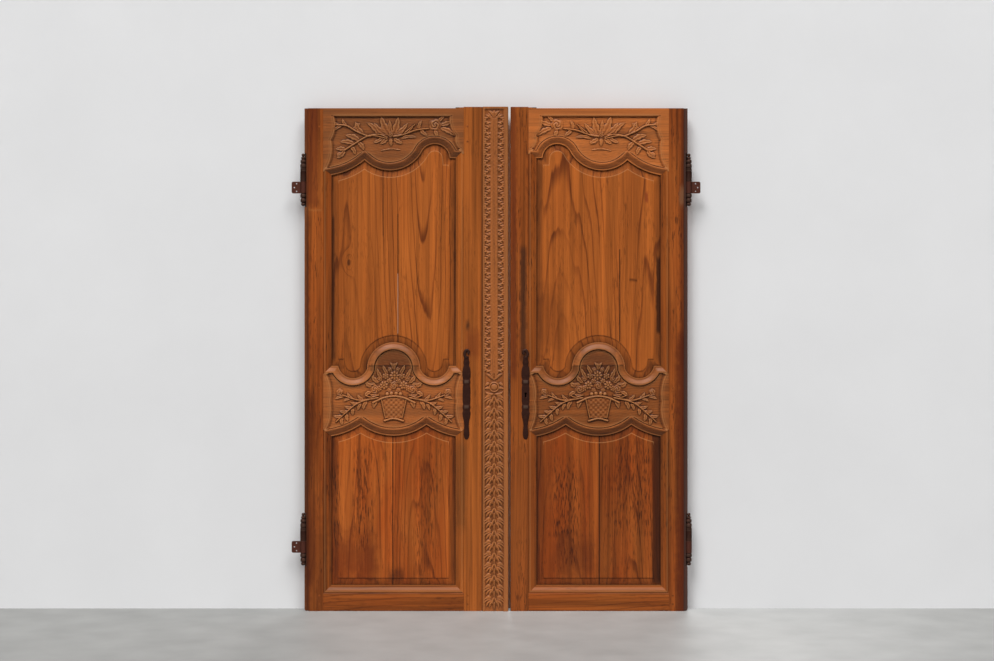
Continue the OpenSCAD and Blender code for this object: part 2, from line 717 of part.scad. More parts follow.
module top_rail() {
    band_z = leaf_h - top_band_h;
    mid_z = leaf_h - palm_drop;
    outline = concat([[shoulder_l, leaf_h], top_tip + [0, edge_lap]], core_edge(top_edge),
        [ear_tip + [0, edge_lap], [shoulder_r, leaf_h]]);
    border_l = border([sight_l - 2, band_z], [sight_l - bracket_d, mid_z], top_tip + [5, 7], bracket_d);
    border_r = border([sight_r - 4, band_z], [sight_r + bracket_d, mid_z], ear_tip + [-6, 6], -bracket_d);
    ground = concat(border_l, ground_edge(top_edge), reversed(border_r));
    difference() {
        union() {
            carved_rail(outline, ground, [top_edge]);
            tenon_pair(tenons[2], [top_a[1] + groove_d, leaf_h], [top_d[1] + groove_d, leaf_h]);
            top_carving();
        }
        peg_holes(peg_r + slip);
    }
}

module middle_rail_whole() {
    mid_z = (mid_shoulder_z + mid_lower_z) / 2;
    upper_z = mid_upper_tip_z - edge_lap;
    lower_z = mid_lower_tip_z + edge_lap;
    outline = concat(
        [[shoulder_l, lower_z]], core_edge(mid_lower_edge), [[shoulder_r, lower_z]],
        [[shoulder_r, upper_z]], core_edge(mid_upper_edge), [[shoulder_l, upper_z]]
    );
    border_l = border([shoulder_l + 5, upper_z - 5], [sight_l - bracket_d, mid_z],
        [shoulder_l + 5, lower_z + 5], bracket_d);
    border_r = border([shoulder_r - 5, upper_z - 5], [sight_r + bracket_d, mid_z],
        [shoulder_r - 5, lower_z + 5], -bracket_d);
    ground = concat(border_l, ground_edge(mid_lower_edge), reversed(border_r), ground_edge(mid_upper_edge));
    haunch = [mid_lower_z + groove_d, mid_shoulder_z - groove_d];
    difference() {
        union() {
            carved_rail(outline, ground, [mid_lower_edge, mid_upper_edge]);
            tenon_pair(tenons[1], haunch, haunch);
            middle_carving();
        }
        peg_holes(peg_r + slip);
    }
}

// Room of the glued-on crest above the middle rail's shoulders
module crest_room() {
    box(mid_u - crest_half, mid_u + crest_half, -1, leaf_t + 1,
        mid_shoulder_z, mid_shoulder_z + 2 * mid_arch_r);
}

module middle_rail(with_lock) {
    difference() {
        middle_rail_whole();
        crest_room();
        if (with_lock) slab(-1, leaf_t + 1) keyhole();
    }
}

module rail_crest() {
    intersection() {
        middle_rail_whole();
        crest_room();
    }
}

module bottom_rail() {
    haunch = [0, bottom_rail_h - groove_d];
    difference() {
        union() {
            box(shoulder_l, shoulder_r, 0, groove_y, 0, bottom_tip_z);
            box(sight_l, sight_r, groove_y - edge_lap, leaf_t, 0, bottom_rail_h);
            intersection() {
                translate([shoulder_l, 0, 0]) rotate([90, 0, 90]) linear_extrude(shoulder_r - shoulder_l)
                    polygon([for (s = run_section) [s[1], bottom_rail_h - s[0]]]);
                slab(0, groove_y) polygon([[shoulder_l, bottom_tip_z], [shoulder_r, bottom_tip_z],
                    [sight_r, bottom_rail_h], [sight_l, bottom_rail_h]]);
            }
            tenon_pair(tenons[0], haunch, haunch);
        }
        box(sight_l - 1, sight_r + 1, groove_y, tongue_back, bottom_rail_h - groove_d, bottom_rail_h + 1);
        peg_holes(peg_r + slip);
    }
}

// One board of a panel between two heights of u; edges are the rails' edges around the panel
module board(edge_a, edge_b, u0, u1) {
    reach = groove_d - groove_room;
    slab(groove_y + slip, tongue_back - slip) intersection() {
        polygon(concat(moved(edge_a, reach), moved(edge_b, reach)));
        translate([u0, 0]) square([u1 - u0, leaf_h]);
    }
    slab(groove_y - field_rise, groove_y + groove_t / 2) intersection() {
        offset(delta = -field_margin) polygon(concat(edge_a, edge_b));
        translate([u0, 0]) square([u1 - u0, leaf_h]);
    }
}

module upper_board(outer, seam_in) {
    seam = sight_l + seam_in;
    if (outer) board(top_edge, mid_upper_edge, 0, seam - seam_gap / 2);
    else board(top_edge, mid_upper_edge, seam + seam_gap / 2, leaf_w);
}

module lower_board(outer) {
    seam = sight_l + lower_seam_in;
    if (outer) board(mid_lower_edge, bottom_edge, 0, seam - seam_gap / 2);
    else board(mid_lower_edge, bottom_edge, seam + seam_gap / 2, leaf_w);
}

module pegs() {
    intersection() {
        peg_holes(peg_r);
        box(0, leaf_w, 0, leaf_t, 0, leaf_h);
    }
}

module mullion() {
    difference() {
        union() {
            difference() {
                box(leaf_w, leaf_w + mullion_w, -mullion_proud, leaf_t, 0, horn_z);
                box(leaf_w - 1, leaf_w + shadow_w, -mullion_proud - 1, shadow_d, -1, horn_z + 1);
                box(leaf_w + band_in, leaf_w + band_in + band_w, -mullion_proud - 1, band_d - mullion_proud,
                    -1, leaf_h - top_band_h);
            }
            intersection() {
                translate([0, band_d - mullion_proud - ground_d, 0]) mullion_carving();
                box(leaf_w + band_in, leaf_w + band_in + band_w, -mullion_proud, leaf_t, 0, horn_z);
            }
        }
        keeper_nail_places() nail_hole();
    }
}

// Outline of an escutcheon around its middle: finial, shank, two lobes, body and tail
module escutcheon_outline() {
    half_h = escutcheon_h / 2;
    finial_r = escutcheon_half * 0.8;
    translate([0, half_h - finial_r]) circle(r = finial_r);
    translate([-escutcheon_half * 0.35, half_h * 0.5]) square([escutcheon_half * 0.7, half_h * 0.45]);
    for (k = [0.5, -0.34]) translate([0, half_h * k]) circle(r = escutcheon_half);
    translate([-escutcheon_half * 0.75, -half_h * 0.34]) square([escutcheon_half * 1.5, half_h * 0.84]);
    polygon([[-escutcheon_half * 0.75, -half_h * 0.34], [-escutcheon_half * 0.25, -half_h],
        [escutcheon_half * 0.25, -half_h], [escutcheon_half * 0.75, -half_h * 0.34]]);
}

module keyhole() {
    translate([escutcheon_u, escutcheon_z]) {
        circle(r = keyhole_r);
        translate([-keyhole_r * 0.55, -keyhole_slot]) square([keyhole_r * 1.1, keyhole_slot]);
    }
}

module escutcheon(with_keyhole) {
    difference() {
        slab(-escutcheon_t, 0) difference() {
            translate([escutcheon_u, escutcheon_z]) escutcheon_outline();
            if (with_keyhole) keyhole();
        }
        escutcheon_nail_places() nail_hole();
    }
}

// A nail driven along +y from a surface at y = 0, its head in front of it
module nail() {
    rotate([90, 0, 0]) cylinder(r = nail_head_r, h = nail_head_h);
    translate([0, -nail_head_h / 2, 0]) rotate([-90, 0, 0])
        cylinder(r = nail_r, h = nail_l + nail_head_h / 2, $fn = peg_sides);
}

module nail_hole() {
    translate([0, -1, 0]) rotate([-90, 0, 0]) cylinder(r = nail_r + slip, h = nail_l + 2, $fn = peg_sides);
}

module escutcheon_nail_places() {
    for (k = [0.93, 0.5, -0.34, -0.9])
        translate([escutcheon_u, -escutcheon_t, escutcheon_z + k * escutcheon_h / 2]) children();
}

// Places on the back, where nails are driven towards the face
module back_places(points, y) {
    for (p = points) translate([p[0], y, p[1]]) mirror([0, 1, 0]) children();
}

module lock_nail_places() {
    z0 = escutcheon_z - lock_h / 2 - lock_nail_in;
    z1 = z0 + lock_h + 2 * lock_nail_in;
    back_places([for (u = [lock_u - lock_nail_in, lock_u + lock_w * 0.35], z = [z0, z1]) [u, z]],
        leaf_t + lock_wall) children();
}

module keeper_nail_places() {
    back_places([for (s = [-1, 1])
        [keeper_u + keeper_w / 2, lock_bolt_z + s * (lock_bolt_h / 2 + guide_wall + lock_nail_in)]],
        leaf_t + lock_wall) children();
}

function bolt_plate_foot(end) =
    end == 0 ? bolt_end_in + bolt_past_plate : horn_z - bolt_end_in - bolt_past_plate - bolt_plate_h;

module bolt_nail_places(end) {
    z0 = bolt_plate_foot(end);
    back_places([for (s = [-1, 1], t = [lock_nail_in, bolt_plate_h - lock_nail_in])
        [bolt_u + s * (bolt_plate_half - lock_nail_in), z0 + t]], leaf_t + plate_t) children();
}

module lock_case() {
    z0 = escutcheon_z - lock_h / 2;
    flange = 2 * lock_nail_in;
    difference() {
        union() {
            box(lock_u, lock_u + lock_w, leaf_t, leaf_t + lock_d, z0, z0 + lock_h);
            box(lock_u - flange, lock_u + lock_w * 0.5, leaf_t, leaf_t + lock_wall,
                z0 - flange, z0 + lock_h + flange);
        }
        box(lock_u + lock_wall, lock_u + lock_w - lock_wall, leaf_t - 1, leaf_t + lock_d - lock_wall,
            z0 + lock_wall, z0 + lock_h - lock_wall);
        box(lock_u + lock_w / 2, lock_u + lock_w + 1,
            lock_bolt_y - bolt_clear, lock_bolt_y + lock_bolt_t + bolt_clear,
            lock_bolt_z - lock_bolt_h / 2 - bolt_clear, lock_bolt_z + lock_bolt_h / 2 + bolt_clear);
        lock_nail_places() nail_hole();
    }
}

module lock_bolt() {
    box(lock_u + 2 * lock_wall, leaf_w - 1, lock_bolt_y, lock_bolt_y + lock_bolt_t,
        lock_bolt_z - lock_bolt_h / 2, lock_bolt_z + lock_bolt_h / 2);
}

module keeper() {
    half = lock_bolt_h / 2 + 2 * bolt_clear;
    foot = half + guide_wall + 2 * lock_nail_in;
    difference() {
        union() {
            box(keeper_u, keeper_u + keeper_w, leaf_t, leaf_t + lock_wall,
                lock_bolt_z - foot, lock_bolt_z + foot);
            box(keeper_u, keeper_u + keeper_w, leaf_t, lock_bolt_y + lock_bolt_t + 2 * bolt_clear + lock_wall,
                lock_bolt_z - half - guide_wall, lock_bolt_z + half + guide_wall);
        }
        box(keeper_u - 1, keeper_u + keeper_w + 1, leaf_t - 1, lock_bolt_y + lock_bolt_t + 2 * bolt_clear,
            lock_bolt_z - half, lock_bolt_z + half);
        keeper_nail_places() nail_hole();
    }
}

module bolt_plate(end) {
    z0 = bolt_plate_foot(end);
    room = bolt_side / 2 + bolt_clear;
    difference() {
        union() {
            box(bolt_u - bolt_plate_half, bolt_u + bolt_plate_half, leaf_t, leaf_t + plate_t,
                z0, z0 + bolt_plate_h);
            for (z = [z0 + 2 * lock_nail_in, z0 + bolt_plate_h - 2 * lock_nail_in - guide_h])
                box(bolt_u - room - guide_wall, bolt_u + room + guide_wall, leaf_t + plate_t / 2,
                    bolt_y + bolt_side + bolt_clear + guide_wall / 2, z, z + guide_h);
        }
        box(bolt_u - room, bolt_u + room, leaf_t + plate_t, bolt_y + bolt_side + bolt_clear,
            z0 - 1, z0 + bolt_plate_h + 1);
        bolt_nail_places(end) nail_hole();
    }
}

module door_bolt(end) {
    z0 = end == 0 ? bolt_end_in : horn_z - bolt_end_in - bolt_l;
    knob_z = bolt_plate_foot(end) + bolt_plate_h / 2;
    box(bolt_u - bolt_side / 2, bolt_u + bolt_side / 2, bolt_y, bolt_y + bolt_side, z0, z0 + bolt_l);
    translate([bolt_u, bolt_y + bolt_side - 1, knob_z]) rotate([-90, 0, 0])
        cylinder(r = bolt_side * 0.4, h = back_y - bolt_y - bolt_side);
}

// Turned finial of beads, from its root at z = 0 to its tip
function bead(z, r, h) = [for (a = [-60:30:60]) [r * (0.62 + 0.38 * cos(a)), z + h / 2 + h / 2 * a / 60]];

module finial(h) {
    rotate_extrude() polygon(concat(
        [[0, 0]],
        bead(0, barrel_r, h * 0.3),
        bead(h * 0.32, barrel_r * 0.92, h * 0.26),
        bead(h * 0.6, barrel_r * 0.8, h * 0.22),
        [[barrel_r * 0.36, h * 0.84], [barrel_r * 0.46, h * 0.92], [barrel_r * 0.3, h], [0, h]]
    ));
}

module hinge_barrel(foot_z) {
    translate([-hinge_out, hinge_y, foot_z + door_barrel_z]) difference() {
        union() {
            cylinder(r = barrel_r, h = door_barrel_h);
            translate([0, 0, door_barrel_h]) finial(finial_h);
            translate([0, -plate_t / 2, 0]) cube([hinge_out + wing_l, plate_t, door_barrel_h - slip]);
        }
        translate([0, 0, -1]) cylinder(r = pin_r + pin_clear, h = pin_reach + hinge_play + 1);
    }
}

// Case half of a hinge: knuckle and plate, drawn with the plate along -u
module hinge_plate() {
    mid_z = knuckle_z + plate_h / 2;
    difference() {
        union() {
            translate([0, 0, knuckle_z]) cylinder(r = barrel_r, h = plate_h);
            translate([0, plate_t / 2, mid_z]) rotate([90, 0, 0]) linear_extrude(plate_t) {
                translate([-plate_reach + plate_corner_r, -plate_h / 2])
                    square([plate_reach - plate_corner_r, plate_h]);
                translate([-plate_reach, -plate_h / 2 + plate_corner_r])
                    square([plate_corner_r + 1, plate_h - 2 * plate_corner_r]);
                for (s = [-1, 1])
                    translate([-plate_reach + plate_corner_r, s * (plate_h / 2 - plate_corner_r)])
                        circle(r = plate_corner_r);
            }
        }
        translate([0, 0, knuckle_z - 1]) cylinder(r = pin_r + pin_clear, h = plate_h + 2);
        for (s = [-1, 0, 1]) {
            hole_in = s == 0 ? plate_mid_hole_in : plate_hole_in;
            translate([-hole_in, -plate_t, mid_z + s * plate_hole_gap / 2]) rotate([-90, 0, 0])
                cylinder(r = plate_hole_r, h = 2 * plate_t);
        }
    }
}

// Pin with the lower finial under the knuckle
module hinge_pin() {
    translate([0, 0, knuckle_z]) mirror([0, 0, 1]) finial(foot_h);
    translate([0, 0, knuckle_z - 1]) cylinder(r = pin_r, h = plate_h + pin_reach + 1);
}

module at_hinge(left, foot_z) {
    mirror([left ? 0 : 1, 0, 0]) translate([-hinge_x, face_y + hinge_y, foot_z]) children();
}

module left_hinge_stile() { color(pine) place_left() hinge_stile(); }
module left_meeting_stile() { color(pine) place_left() meeting_stile(false); }
module left_top_rail() { color(pine_carved) place_left() top_rail(); }
module left_middle_rail() { color(pine_carved) place_left() middle_rail(false); }
module left_rail_crest() { color(pine_carved) place_left() rail_crest(); }
module left_bottom_rail() { color(pine) place_left() bottom_rail(); }
module left_upper_board_outer() { color(pine_panel) place_left() upper_board(true, left_upper_seam_in); }
module left_upper_board_inner() { color(pine_panel) place_left() upper_board(false, left_upper_seam_in); }
module left_lower_board_outer() { color(pine_panel) place_left() lower_board(true); }
module left_lower_board_inner() { color(pine_panel) place_left() lower_board(false); }
module left_pegs() { color(peg_wood) place_left() pegs(); }
module left_escutcheon() { color(iron) place_left() escutcheon(false); }
module left_escutcheon_nails() { color(iron) place_left() escutcheon_nail_places() nail(); }
module left_mullion() { color(pine_carved) place_left() mullion(); }
module right_hinge_stile() { color(pine) place_right() hinge_stile(); }
module right_meeting_stile() { color(pine) place_right() meeting_stile(true); }
module right_top_rail() { color(pine_carved) place_right() top_rail(); }
module right_middle_rail() { color(pine_carved) place_right() middle_rail(true); }
module right_rail_crest() { color(pine_carved) place_right() rail_crest(); }
module right_bottom_rail() { color(pine) place_right() bottom_rail(); }
module right_upper_board_outer() { color(pine_panel) place_right() upper_board(true, right_upper_seam_in); }
module right_upper_board_inner() { color(pine_panel) place_right() upper_board(false, right_upper_seam_in); }
module right_lower_board_outer() { color(pine_panel) place_right() lower_board(true); }
module right_lower_board_inner() { color(pine_panel) place_right() lower_board(false); }
module right_pegs() { color(peg_wood) place_right() pegs(); }
module right_escutcheon() { color(iron) place_right() escutcheon(true); }
module right_escutcheon_nails() { color(iron) place_right() escutcheon_nail_places() nail(); }
module left_barrel(foot_z) { color(iron) place_left() hinge_barrel(foot_z); }
module right_barrel(foot_z) { color(iron) place_right() hinge_barrel(foot_z); }
module case_plate(left, foot_z, turn = 0) {
    color(plate_iron) at_hinge(left, foot_z) rotate([0, 0, turn]) hinge_plate();
}
module case_pin(left, foot_z) { color(iron) at_hinge(left, foot_z) hinge_pin(); }
module right_lock_case() { color(iron) place_right() lock_case(); }
module right_lock_bolt() { color(iron) place_right() lock_bolt(); }
module right_lock_nails() { color(iron) place_right() lock_nail_places() nail(); }
module left_keeper() { color(iron) place_left() keeper(); }
module left_keeper_nails() { color(iron) place_left() keeper_nail_places() nail(); }
module left_bolt_plate(end) { color(iron) place_left() bolt_plate(end); }
module left_bolt(end) { color(iron) place_left() door_bolt(end); }
module left_bolt_nails(end) { color(iron) place_left() bolt_nail_places(end) nail(); }

left_hinge_stile();
left_meeting_stile();
left_top_rail();
left_middle_rail();
left_rail_crest();
left_bottom_rail();
left_upper_board_outer();
left_upper_board_inner();
left_lower_board_outer();
left_lower_board_inner();
left_pegs();
left_escutcheon();
left_escutcheon_nails();
left_mullion();  // mullion
right_hinge_stile();
right_meeting_stile();
right_top_rail();
right_middle_rail();
right_rail_crest();
right_bottom_rail();
right_upper_board_outer();
right_upper_board_inner();
right_lower_board_outer();
right_lower_board_inner();
right_pegs();
right_escutcheon();
right_escutcheon_nails();
left_barrel(hinge_feet[1]);  // upper_left_hinge_barrel
left_barrel(hinge_feet[0]);  // lower_left_hinge_barrel
right_barrel(hinge_feet[1]);  // upper_right_hinge_barrel
right_barrel(hinge_feet[0]);  // lower_right_hinge_barrel
case_plate(true, hinge_feet[1]);  // upper_left_hinge_plate
case_plate(true, hinge_feet[0]);  // lower_left_hinge_plate
case_plate(false, hinge_feet[1]);  // upper_right_hinge_plate
case_plate(false, hinge_feet[0], -90);  // lower_right_hinge_plate
case_pin(true, hinge_feet[1]);  // upper_left_hinge_pin
case_pin(true, hinge_feet[0]);  // lower_left_hinge_pin
case_pin(false, hinge_feet[1]);  // upper_right_hinge_pin
case_pin(false, hinge_feet[0]);  // lower_right_hinge_pin
right_lock_case();  // lock_case
right_lock_bolt();  // lock_bolt
right_lock_nails();  // lock_nails
left_keeper();  // keeper
left_keeper_nails();  // keeper_nails
left_bolt_plate(1);  // top_bolt_plate
left_bolt(1);  // top_bolt
left_bolt_nails(1);  // top_bolt_nails
left_bolt_plate(0);  // bottom_bolt_plate
left_bolt(0);  // bottom_bolt
left_bolt_nails(0);  // bottom_bolt_nails
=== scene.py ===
"""Carved pine cupboard doors: relief, mouldings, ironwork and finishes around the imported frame."""
import json
import math
from functools import partial
from types import SimpleNamespace

import bmesh
import bpy
import numpy as np
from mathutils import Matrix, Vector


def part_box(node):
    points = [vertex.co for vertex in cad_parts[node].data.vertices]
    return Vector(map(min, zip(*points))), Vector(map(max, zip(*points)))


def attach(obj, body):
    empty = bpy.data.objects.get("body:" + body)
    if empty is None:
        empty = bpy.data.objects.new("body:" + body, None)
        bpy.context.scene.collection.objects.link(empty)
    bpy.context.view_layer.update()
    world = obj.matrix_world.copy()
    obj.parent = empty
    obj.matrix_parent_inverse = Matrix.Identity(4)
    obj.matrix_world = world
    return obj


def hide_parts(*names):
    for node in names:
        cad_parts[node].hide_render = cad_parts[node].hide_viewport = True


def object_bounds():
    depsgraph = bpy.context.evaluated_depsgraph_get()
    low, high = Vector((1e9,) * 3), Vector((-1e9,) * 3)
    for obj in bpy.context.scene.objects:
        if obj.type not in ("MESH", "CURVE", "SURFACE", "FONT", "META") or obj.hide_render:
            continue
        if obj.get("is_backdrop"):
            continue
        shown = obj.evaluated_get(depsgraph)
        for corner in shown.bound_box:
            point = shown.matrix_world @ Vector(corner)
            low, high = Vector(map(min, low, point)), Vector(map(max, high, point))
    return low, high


bl_info = {
    "name": "Carved double door",
    "version": (1, 0, 0),
    "blender": (4, 5, 0),
    "location": "View3D > Sidebar > Carved door",
    "description": "Builds the carved leaves, the ironwork and the stage around the packed frame",
    "category": "Object",
}

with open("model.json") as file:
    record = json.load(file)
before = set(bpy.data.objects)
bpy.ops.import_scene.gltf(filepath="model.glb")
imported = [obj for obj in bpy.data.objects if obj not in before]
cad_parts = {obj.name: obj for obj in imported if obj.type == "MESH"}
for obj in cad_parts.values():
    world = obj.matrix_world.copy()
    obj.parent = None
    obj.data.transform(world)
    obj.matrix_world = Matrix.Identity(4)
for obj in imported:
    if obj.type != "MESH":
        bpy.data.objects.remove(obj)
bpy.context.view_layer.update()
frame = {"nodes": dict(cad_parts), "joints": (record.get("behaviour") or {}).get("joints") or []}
NODES = frame["nodes"]
SIDES = ("left", "right")
LEVELS = ("upper", "lower")
STILE_LOW, STILE_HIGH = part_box("left_hinge_stile")
MEETING_LOW, MEETING_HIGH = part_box("left_meeting_stile")
MULLION_LOW, MULLION_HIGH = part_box("mullion")
SWING_AT = next(joint["pos_m"] for joint in frame["joints"] if joint["name"] == "left_leaf_swing")
MM = 0.001
# In millimetres: how far worn ends stand back, and half the slit between two glued pieces.
WORN_END = 0.4
HALF_SLIT = 0.01


def linear(code):
    """Linear colour of an sRGB hex value."""
    parts = [int(code[i:i + 2], 16) / 255 for i in (0, 2, 4)]
    return [c / 12.92 if c <= 0.04045 else ((c + 0.055) / 1.055) ** 2.4 for c in parts]


def length(name, description, default):
    """Property for a length in metres."""
    return bpy.props.FloatProperty(name=name, description=description, default=default, min=0.0,
                                   unit="LENGTH", subtype="DISTANCE", precision=4)


def colour(name, description, code):
    """Property for a colour given as an sRGB hex value."""
    return bpy.props.FloatVectorProperty(name=name, description=description, default=linear(code),
                                         size=3, min=0.0, max=1.0, subtype="COLOR")


class DoorSizes(bpy.types.PropertyGroup):
    """Sizes of the leaves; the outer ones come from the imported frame."""
    leaf_w: length("Leaf width", "Width of one leaf without the mullion", MEETING_HIGH.x - STILE_LOW.x)
    leaf_h: length("Leaf height", "Height of hinge stiles and rails", STILE_HIGH.z)
    leaf_t: length("Leaf thickness", "Thickness of stiles and rails", STILE_HIGH.y - STILE_LOW.y)
    hinge_stile_w: length("Hinge stile", "Full width of a hinge stile", STILE_HIGH.x - STILE_LOW.x)
    meeting_stile_w: length("Meeting stile", "Full width of a meeting stile",
                            MEETING_HIGH.x - MEETING_LOW.x)
    horn_z: length("Horn height", "Height of the meeting stiles and the mullion", MEETING_HIGH.z)
    hinge_out: length("Hinge axis out", "Hinge axis outside the leaf's edge", STILE_LOW.x - SWING_AT[0])
    hinge_in: length("Hinge axis depth", "Hinge axis behind the leaf's face", SWING_AT[1] - STILE_LOW.y)
    moulding_w: length("Moulding", "Width of the moulding around a panel", 0.030)
    mould_edge_d: length("Moulding edge", "Depth of the moulding's panel-side edge", 0.0085)
    groove_y: length("Groove place", "Depth from the face to the panel groove", 0.014)
    tongue_back: length("Groove back", "Depth from the face to the back of the panel groove", 0.022)
    groove_d: length("Groove depth", "Depth of the panel groove", 0.012)
    ground_d: length("Carved ground", "Depth of the carved ground below the face", 0.006)
    rebate_w: length("Rebate width", "Width of the rebate down the hinge edge", 0.014)
    rebate_d: length("Rebate depth", "Depth of the rebate down the hinge edge", 0.006)
    field_margin: length("Panel slope", "Width of the sloped border around a panel's field", 0.026)
    bottom_rail_h: length("Bottom rail", "Full height of a bottom rail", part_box("left_bottom_rail")[1].z)
    top_band_h: length("Top band", "Height of the plain band along the top", 0.028)
    top_corner_drop: length("Top corner", "Drop from the top to the edge at the hinge stile", 0.245)
    top_cusp_in: length("Top cusp place", "Distance from the hinge stile to the top rail's cusp", 0.1215)
    top_cusp_drop: length("Top cusp", "Drop from the top to the top rail's cusp", 0.190)
    top_scallop_sag: length("Top scallop", "Sag of the scallop beside the hinge stile", 0.009)
    top_lobe_sag: length("Top lobe", "Sag of the top rail's wide lobe", 0.050)
    top_ogee_in: length("Top turn place", "Distance from the meeting stile to the arch's turn", 0.1267)
    top_ogee_drop: length("Top turn", "Drop from the top to the turn into the arch", 0.164)
    top_arch_sag: length("Top arch", "Rise of the arch beside the meeting stile", 0.0425)
    top_ear_w: length("Top ear width", "Width of the flat ear beside the meeting stile", 0.022)
    top_ear_drop: length("Top ear", "Drop from the top to the ear", 0.1825)
    mid_shoulder_z: length("Middle rail top", "Height of the middle rail's upper edge at the stiles", 0.901)
    mid_arch_r: length("Crest radius", "Radius of the arched crest", 0.098)
    mid_arch_drop: length("Crest foot", "Drop from the shoulders to the foot of the crest", 0.011)
    mid_scoop_w: length("Scoop width", "Width of the scoops beside the crest", 0.1055)
    mid_scoop_sag: length("Scoop", "Sag of the scoops beside the crest", 0.040)
    mid_lower_z: length("Middle rail foot", "Height of the middle rail's lower edge at the stiles", 0.642)
    mid_cusp_out: length("Lower cusp place", "Distance of the lower cusps from the middle", 0.1205)
    mid_cusp_rise: length("Lower cusp", "Rise from the lower edge's ends to its cusps", 0.0425)
    mid_end_sag: length("Lower ends", "Sag of the lower edge's end arcs", 0.006)
    mid_lobe_sag: length("Lower lobe", "Sag of the lower edge's middle lobe", 0.0405)
    foot_corner_r: length("Foot corner", "Radius of the outer bottom corners", 0.009)
    peg_in: length("Peg place", "Distance of the pegs from the rail's shoulder", 0.014)
    escutcheon_h: length("Escutcheon", "Length of an escutcheon", 0.336)
    escutcheon_z: length("Escutcheon height", "Height of the escutcheons' middle", 0.799)
    key_in: length("Key place", "Distance of the escutcheons' middle from the panel", 0.0405)
    relief_step: length("Relief step", "Spacing of the points of the carved relief", 0.0014)


class DoorColours(bpy.types.PropertyGroup):
    """Colours of the woods, the iron and the stage."""
    early: colour("Early wood", "Pale bands of the pine", "A65A22")
    late: colour("Late wood", "Dark bands of the pine", "5E280C")
    # Grime is also the colour of painted shade: in the carving's hollows, in the quirks and beside the
    # mouldings, and on the panels' rims and side slopes.
    grime: colour("Grime", "Old wax and dirt in the recesses", "2A1208")
    # Worn wood is also the colour of painted highlights: on mouldings that face up, along the head of each
    # panel's field and on raised carving.
    worn: colour("Worn wood", "Rubbed ridges and edges", "BE8552")
    red: colour("Red wax", "Red-brown wax on stiles, rails and lower boards", "8A3407")
    dust: colour("Dust", "Grey-brown film on the carved pieces", "A07A5A")
    iron: colour("Iron", "Dull dark iron", "3A1D14")
    # Rubbed iron is also the colour of the painted glints along the escutcheons' bands.
    iron_rub: colour("Rubbed iron", "Rubbed places of the iron", "604A3E")
    iron_rust: colour("Rust", "Rusty patches of the iron", "5A3323")
    plate: colour("Hinge plates", "Rusty brown of the hinge plates", "5E3429")
    floor: colour("Floor", "Pale floor", "A5A5A3")
    wall: colour("Backdrop", "Pale backdrop", "E2E2E3")


class DoorSettings(bpy.types.PropertyGroup):
    """The door's sizes and colours."""
    sizes: bpy.props.PointerProperty(type=DoorSizes)
    colours: bpy.props.PointerProperty(type=DoorColours)


def plan_of(context):
    """The sizes in millimetres, in a leaf's own frame: u from its hinge edge, y from its face, z up."""
    sizes = context.scene.carved_door.sizes
    plan = SimpleNamespace(**{name: getattr(sizes, name) / MM for name in DoorSizes.__annotations__})
    plan.sight_l = plan.hinge_stile_w
    plan.sight_r = plan.leaf_w - plan.meeting_stile_w
    plan.mid_u = (plan.sight_l + plan.sight_r) / 2
    plan.shoulder_l = plan.sight_l - plan.moulding_w
    plan.shoulder_r = plan.sight_r + plan.moulding_w
    plan.key_u = plan.sight_r + plan.key_in
    plan.hinge_axis = (-plan.hinge_out, plan.hinge_in, 0)
    plan.top_edge = top_rail_edge(plan)
    plan.mid_upper_edge = crest_edge(plan)
    plan.mid_lower_edge = foot_edge(plan)
    plan.bottom_edge = [line((plan.sight_r, plan.bottom_rail_h), (plan.sight_l, plan.bottom_rail_h))]
    return plan


def colours_of(context):
    """The colours."""
    return context.scene.carved_door.colours


def top_rail_edge(plan):
    """Runs of the top rail's edge: a scallop, a wide lobe, an arch and a flat ear."""
    corner = (plan.sight_l, plan.leaf_h - plan.top_corner_drop)
    cusp = (plan.sight_l + plan.top_cusp_in, plan.leaf_h - plan.top_cusp_drop)
    turn = (plan.sight_r - plan.top_ogee_in, plan.leaf_h - plan.top_ogee_drop)
    ear = (plan.sight_r - plan.top_ear_w, plan.leaf_h - plan.top_ear_drop)
    return [arc(corner, cusp, -plan.top_scallop_sag, 16), arc(cusp, turn, -plan.top_lobe_sag, 40),
            arc(turn, ear, plan.top_arch_sag, 36), line(ear, (plan.sight_r, ear[1]))]


def crest_edge(plan):
    """Runs of the middle rail's upper edge, from right to left: scoops on both sides of an arch."""
    shoulder, arch_z = plan.mid_shoulder_z, plan.mid_shoulder_z - plan.mid_arch_drop
    far = plan.mid_arch_r + plan.mid_scoop_w
    scoop_r, scoop_l = (plan.mid_u + far, shoulder), (plan.mid_u - far, shoulder)
    arch_r, arch_l = (plan.mid_u + plan.mid_arch_r, arch_z), (plan.mid_u - plan.mid_arch_r, arch_z)
    return [line((plan.sight_r, shoulder), scoop_r), arc(scoop_r, arch_r, plan.mid_scoop_sag, 30),
            arc(arch_r, arch_l, -plan.mid_arch_r, 60), arc(arch_l, scoop_l, plan.mid_scoop_sag, 30),
            line(scoop_l, (plan.sight_l, shoulder))]


def foot_edge(plan):
    """Runs of the middle rail's lower edge: a wide lobe between two short end arcs."""
    cusp_z = plan.mid_lower_z + plan.mid_cusp_rise
    cusp_l, cusp_r = (plan.mid_u - plan.mid_cusp_out, cusp_z), (plan.mid_u + plan.mid_cusp_out, cusp_z)
    return [arc((plan.sight_l, plan.mid_lower_z), cusp_l, -plan.mid_end_sag, 14),
            arc(cusp_l, cusp_r, -plan.mid_lobe_sag, 44),
            arc(cusp_r, (plan.sight_r, plan.mid_lower_z), -plan.mid_end_sag, 14)]


def line(p, q):
    """Run of two points."""
    return np.array([p, q], float)


